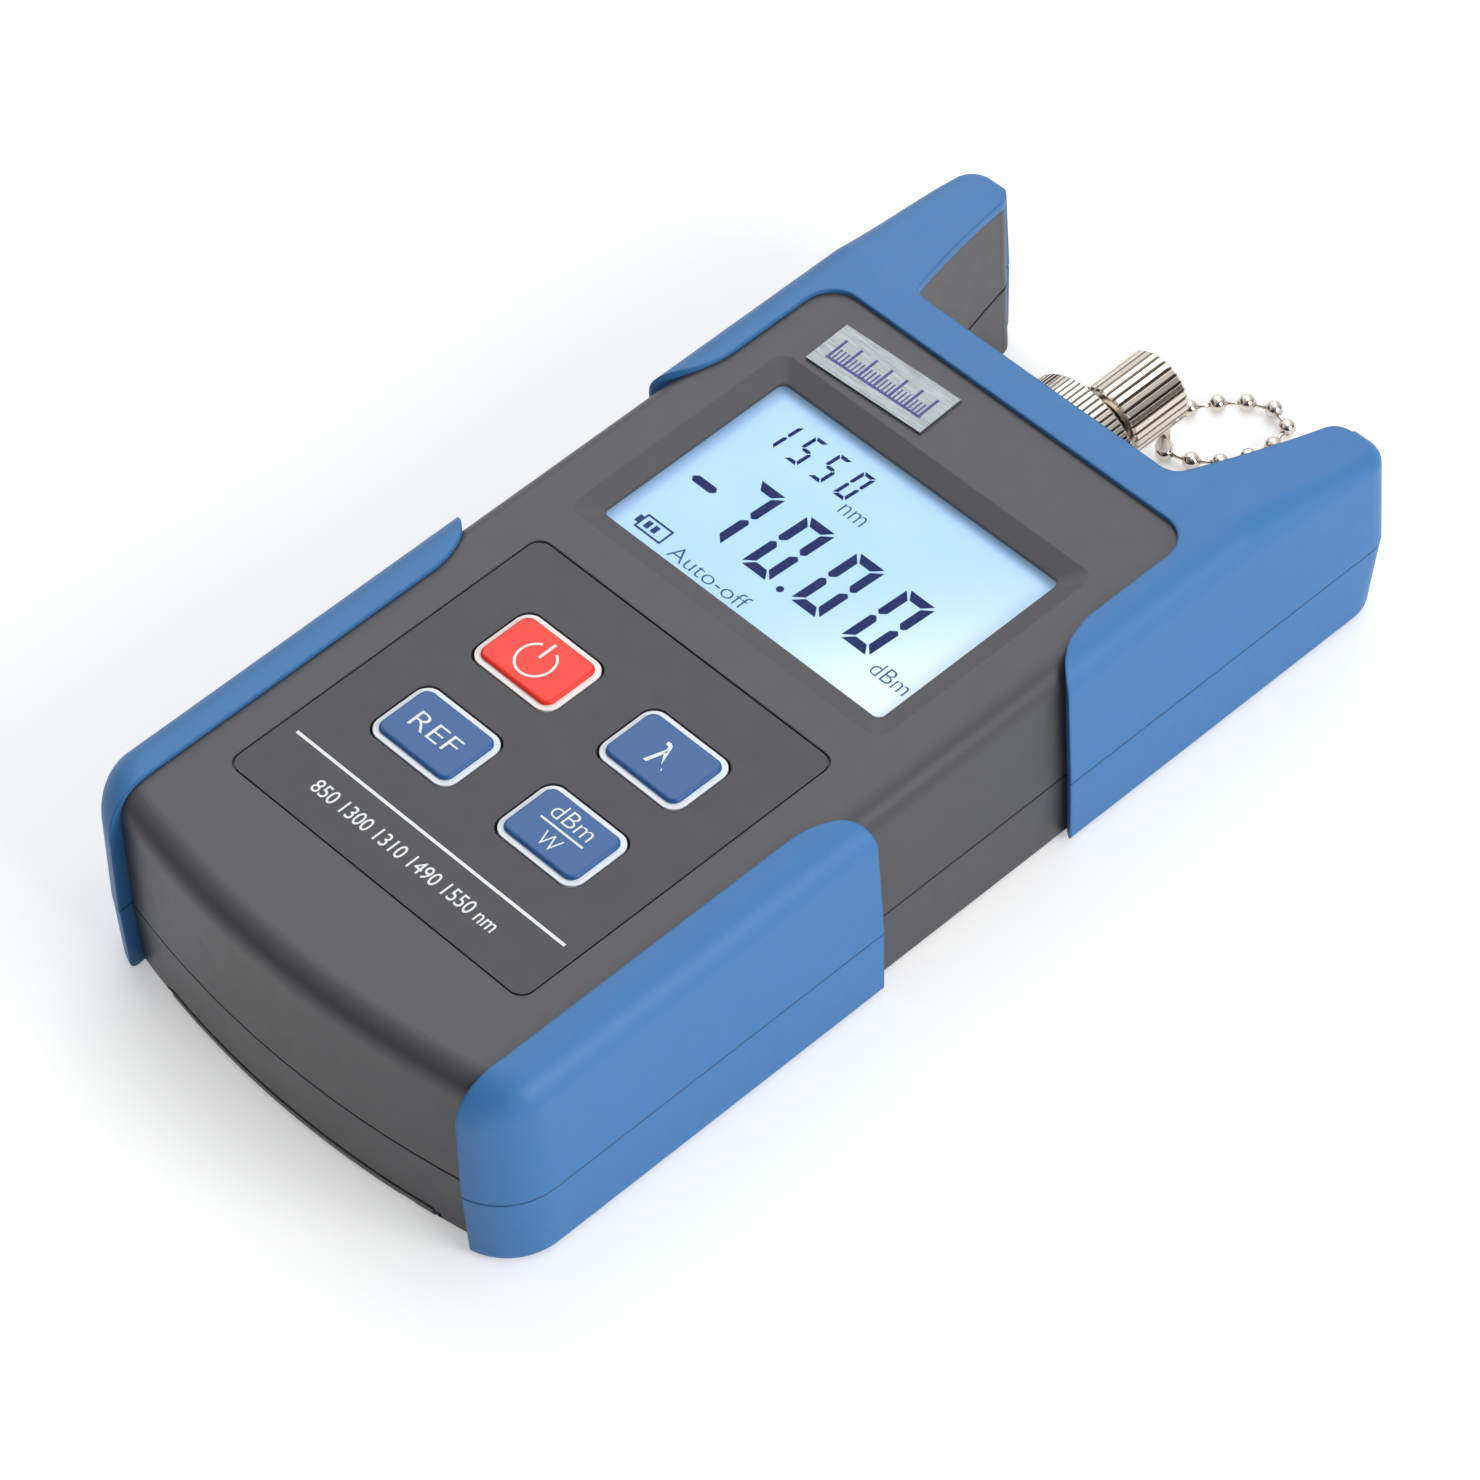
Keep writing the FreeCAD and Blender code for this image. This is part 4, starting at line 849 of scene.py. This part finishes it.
@dataclass
class BallChain:
    """Ball chain from the dust cap to the washer at the foot of the port."""

    dresser: Dresser
    ball: float = 1.35 * MM
    link: float = 0.33 * MM
    pitch: float = 4.3 * MM
    height: float = 1.4 * MM
    moving: int = 5
    way: tuple[tuple[float, float], ...] = (
        (0.0, 84.25), (3.6, 85.6), (7.0, 88.2), (9.4, 92.2), (10.4, 96.6), (9.4, 100.2), (5.4, 101.6),
        (1.2, 99.4), (-1.9, 95.8), (-5.2, 90.0), (-7.6, 83.0), (-8.4, 75.0), (-7.2, 67.2), (-4.0, 60.95))

    def spots(self) -> np.ndarray:
        """Centres of the balls, equally spaced on a smooth curve through the chain's way.

        The curve is a cubic in each span with free ends, timed by the straight distance between
        the way's points, so its bends flow into each other.
        """
        way = np.array(self.way) * MM
        span = np.linalg.norm(np.diff(way, axis=0), axis=1)
        time = np.concatenate([[0.0], np.cumsum(span)])
        count = len(way)
        table = np.eye(count)
        right = np.zeros((count, 2))
        inner = np.arange(1, count - 1)
        table[inner, inner - 1] = span[:-1]
        table[inner, inner] = 2 * (span[:-1] + span[1:])
        table[inner, inner + 1] = span[1:]
        slope = np.diff(way, axis=0) / span[:, None]
        right[1:-1] = 6 * np.diff(slope, axis=0)
        bend = np.linalg.solve(table, right)
        fine = np.linspace(0, time[-1], 4000)
        k = np.clip(np.searchsorted(time, fine, side="right") - 1, 0, count - 2)
        h, left = span[k][:, None], (fine - time[k])[:, None]
        rest = h - left
        line = (bend[k] * rest ** 3 + bend[k + 1] * left ** 3) / (6 * h) \
            + (way[k] / h - bend[k] * h / 6) * rest + (way[k + 1] / h - bend[k + 1] * h / 6) * left
        gone = np.concatenate([[0.0], np.cumsum(np.linalg.norm(np.diff(line, axis=0), axis=1))])
        balls = int(round(gone[-1] / self.pitch)) + 1
        even = np.linspace(0, gone[-1], balls)
        places = np.column_stack([np.interp(even, gone, line[:, 0]), np.interp(even, gone, line[:, 1])])
        return np.column_stack([places, np.full(balls, self.height)])

    def ball_profile(self) -> np.ndarray:
        """Half outline of a hollow ball with a turned-in hole at each end, along its own axis."""
        turn = np.linspace(0.36, math.pi - 0.36, 15)
        shell = np.column_stack([-np.cos(turn), np.sin(turn)]) * self.ball
        lip = self.ball * 0.86
        inside = self.link * 0.9
        return np.vstack([(-lip, inside), (shell[0, 0], self.ball * 0.27), shell,
                          (shell[-1, 0], self.ball * 0.27), (lip, inside)])

    def add_ball(self, into: Shapes, centre: np.ndarray, along: np.ndarray) -> None:
        """Adds one ball whose holes face along the chain."""
        into.turned(self.ball_profile(), tuple(centre), along, 22)

    def add_link(self, into: Shapes, start: np.ndarray, end: np.ndarray) -> None:
        """Adds the pin between two balls."""
        length = float(np.linalg.norm(end - start))
        profile = np.array([(0.0, self.link), (length, self.link)])
        into.turned(profile, tuple(start), end - start, 10)

    def build(self) -> None:
        """Makes the chain: the first ball is fixed to the cap's lug, the next few balls and pins are separate
        pieces, the rest lie still on the housing.
        """
        spots = self.spots()
        along = np.gradient(spots, axis=0)
        metal = self.dresser.material(NICKEL)
        still = Shapes()
        for number in range(self.moving, len(spots)):
            self.add_ball(still, spots[number], along[number])
            if number + 1 < len(spots):
                self.add_link(still, spots[number], spots[number + 1])
        rest = still.piece("chain_rest", metal, True)
        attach(rest, "housing")
        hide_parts("ball_chain")
        for number in range(self.moving):
            self.follow(number, spots, along, metal)
        log.info("ball chain: %d balls, %d of them move with the cap", len(spots), self.moving)

    def follow(self, number: int, spots: np.ndarray, along: np.ndarray, metal: bpy.types.Material) -> None:
        """Makes one ball near the cap and the pin after it; only the first ball is fixed to the cap's lug.

        Args:
            number: the ball's place, counted from the cap.
            spots: centres of all the balls.
            along: direction of the chain at each ball.
            metal: their finish.
        """
        ball = Shapes()
        self.add_ball(ball, spots[number], along[number])
        piece = ball.piece(f"chain_ball_{number}", metal, True)
        if number == 0:
            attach(piece, "cap_lug")
        else:
            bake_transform(piece)
        pin = Shapes()
        self.add_link(pin, spots[number], spots[number + 1])
        piece = pin.piece(f"chain_pin_{number}", metal, True)
        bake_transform(piece)

    @staticmethod
    def share(weight: float) -> float:
        """How far along a smooth step its value reaches the weight."""
        return 0.5 - math.sin(math.asin(1 - 2 * weight) / 3)


@dataclass
class FibrePort:
    """Knurled ring, barrel, dust cap and the tether's metal ends."""

    dresser: Dresser

    def build(self) -> None:
        """Dresses the port's CAD nodes."""
        self.dresser.dress(NICKEL, "port_body", "port_ring", "dust_cap", "cap_lug", "tether_washer")
        self.dresser.dress(RUBBER_BLACK, "cap_seal")


@dataclass
class Studio:
    """White sweep, soft lamps and the camera."""

    azimuth: float = 49.048
    elevation: float = 49.024
    roll: float = -3.62
    distance: float = 1003.41 * MM
    target: Point = (-5.149 * MM, 3.865 * MM, 0.0)
    lens: float = 173.32
    floor_half: float = 3.0
    sky_level: float = 0.36
    backdrop_way: Point = (-0.5, 0.43, 0.75)
    room_reach: tuple[float, float] = (-0.1, 0.95)
    room_level: tuple[float, float] = (0.14, 1.0)

    def build(self) -> None:
        """Makes the floor, the world, the lamps and the camera."""
        self.floor()
        self.world()
        self.lamps()
        self.camera()
        view = bpy.context.scene.view_settings
        view.view_transform = "Standard"
        log.info("studio ready")

    def floor(self) -> None:
        """Flat white floor at the height of the meter's back."""
        reach = self.floor_half
        corners = np.array([(-reach, -reach, 0), (reach, -reach, 0), (reach, reach, 0), (-reach, reach, 0)])
        paper = StudioPaper("studio_white", 0.80, 0.36).material()
        put_mesh("studio_floor", corners - np.array((0, 0, 0.0001)), [(0, 1, 2, 3)], paper)

    def world(self) -> None:
        """Even light from all round; a white backdrop for the eye, fading to a dim room in reflections.

        A reflection's brightness grows with the cosine between its direction and the backdrop's.
        """
        world = bpy.data.worlds.new("studio_world")
        bpy.context.scene.world = world
        world.use_nodes = True
        nodes, links = world.node_tree.nodes, world.node_tree.links
        nodes.clear()
        rays = nodes.new("ShaderNodeLightPath")
        seen = nodes.new("ShaderNodeMath")
        seen.operation = "MAXIMUM"
        links.new(rays.outputs["Is Camera Ray"], seen.inputs[0])
        links.new(rays.outputs["Is Transmission Ray"], seen.inputs[1])
        away = nodes.new("ShaderNodeTexCoord")
        facing = nodes.new("ShaderNodeVectorMath")
        facing.operation = "DOT_PRODUCT"
        links.new(away.outputs["Generated"], facing.inputs[0])
        facing.inputs[1].default_value = self.backdrop_way
        room = nodes.new("ShaderNodeMapRange")
        room.interpolation_type = "SMOOTHSTEP"
        links.new(facing.outputs["Value"], room.inputs["Value"])
        for socket, value in zip(("From Min", "From Max", "To Min", "To Max"),
                                 (*self.room_reach, *self.room_level)):
            room.inputs[socket].default_value = value
        layers = []
        for colour, strength in (((0.96, 0.98, 1.0), self.sky_level), ((1, 1, 1), None), ((1, 1, 1), 1.0)):
            layer = nodes.new("ShaderNodeBackground")
            layer.inputs["Color"].default_value = (*colour, 1.0)
            if strength is None:
                links.new(room.outputs["Result"], layer.inputs["Strength"])
            else:
                layer.inputs["Strength"].default_value = strength
            layers.append(layer.outputs[0])
        mixed = layers[0]
        for share, layer in ((rays.outputs["Is Glossy Ray"], layers[1]), (seen.outputs[0], layers[2])):
            step = nodes.new("ShaderNodeMixShader")
            links.new(share, step.inputs[0])
            links.new(mixed, step.inputs[1])
            links.new(layer, step.inputs[2])
            mixed = step.outputs[0]
        out = nodes.new("ShaderNodeOutputWorld")
        links.new(mixed, out.inputs["Surface"])

    def lamps(self) -> None:
        """Large soft lamps: to the right, above and behind on the left."""
        for name, azimuth, elevation, far, size, power in (
                ("overhead", 150.0, 75.0, 1.5, 1.0, 4.0),
                ("right_side", 98.0, 27.0, 1.5, 0.9, 15.5),
                ("back_left", 229.0, 47.0, 1.6, 1.3, 8.5)):
            a, e = math.radians(azimuth), math.radians(elevation)
            away = Vector((math.sin(a) * math.cos(e), -math.cos(a) * math.cos(e), math.sin(e)))
            lamp = bpy.data.lights.new(name, "AREA")
            lamp.shape = "SQUARE"
            lamp.size = size
            lamp.energy = power
            holder = bpy.data.objects.new(name, lamp)
            bpy.context.scene.collection.objects.link(holder)
            holder.location = away * far
            holder.rotation_mode = "QUATERNION"
            holder.rotation_quaternion = (-away).to_track_quat("-Z", "Y")

    def camera(self) -> None:
        """Camera at the given bearing, turned a little about its line of sight."""
        a, e, r = (math.radians(v) for v in (self.azimuth, self.elevation, self.roll))
        back = Vector((math.sin(a) * math.cos(e), -math.cos(a) * math.cos(e), math.sin(e)))
        right = Vector((math.cos(a), math.sin(a), 0))
        up = back.cross(right)
        turned_right = right * math.cos(r) + up * math.sin(r)
        turned_up = up * math.cos(r) - right * math.sin(r)
        lens = bpy.data.cameras.new("camera")
        lens.lens = self.lens
        lens.sensor_width = 36.0
        lens.clip_start, lens.clip_end = 0.05, 20.0
        holder = bpy.data.objects.new("camera", lens)
        bpy.context.scene.collection.objects.link(holder)
        turn = Matrix((turned_right, turned_up, back)).transposed().to_4x4()
        holder.matrix_world = Matrix.Translation(Vector(self.target) + back * self.distance) @ turn
        bpy.context.scene.camera = holder


def main() -> None:
    """Builds the sub-assemblies in order."""
    logging.basicConfig(level=logging.INFO, format="%(name)s %(message)s")
    dresser = Dresser()
    Studio().build()
    for part in (Housing(dresser), Display(dresser), Keypad(dresser), Badge(dresser), FibrePort(dresser),
                 BallChain(dresser)):
        part.build()
        log.info("%s done", type(part).__name__)


if __name__ == "__main__":
    main()
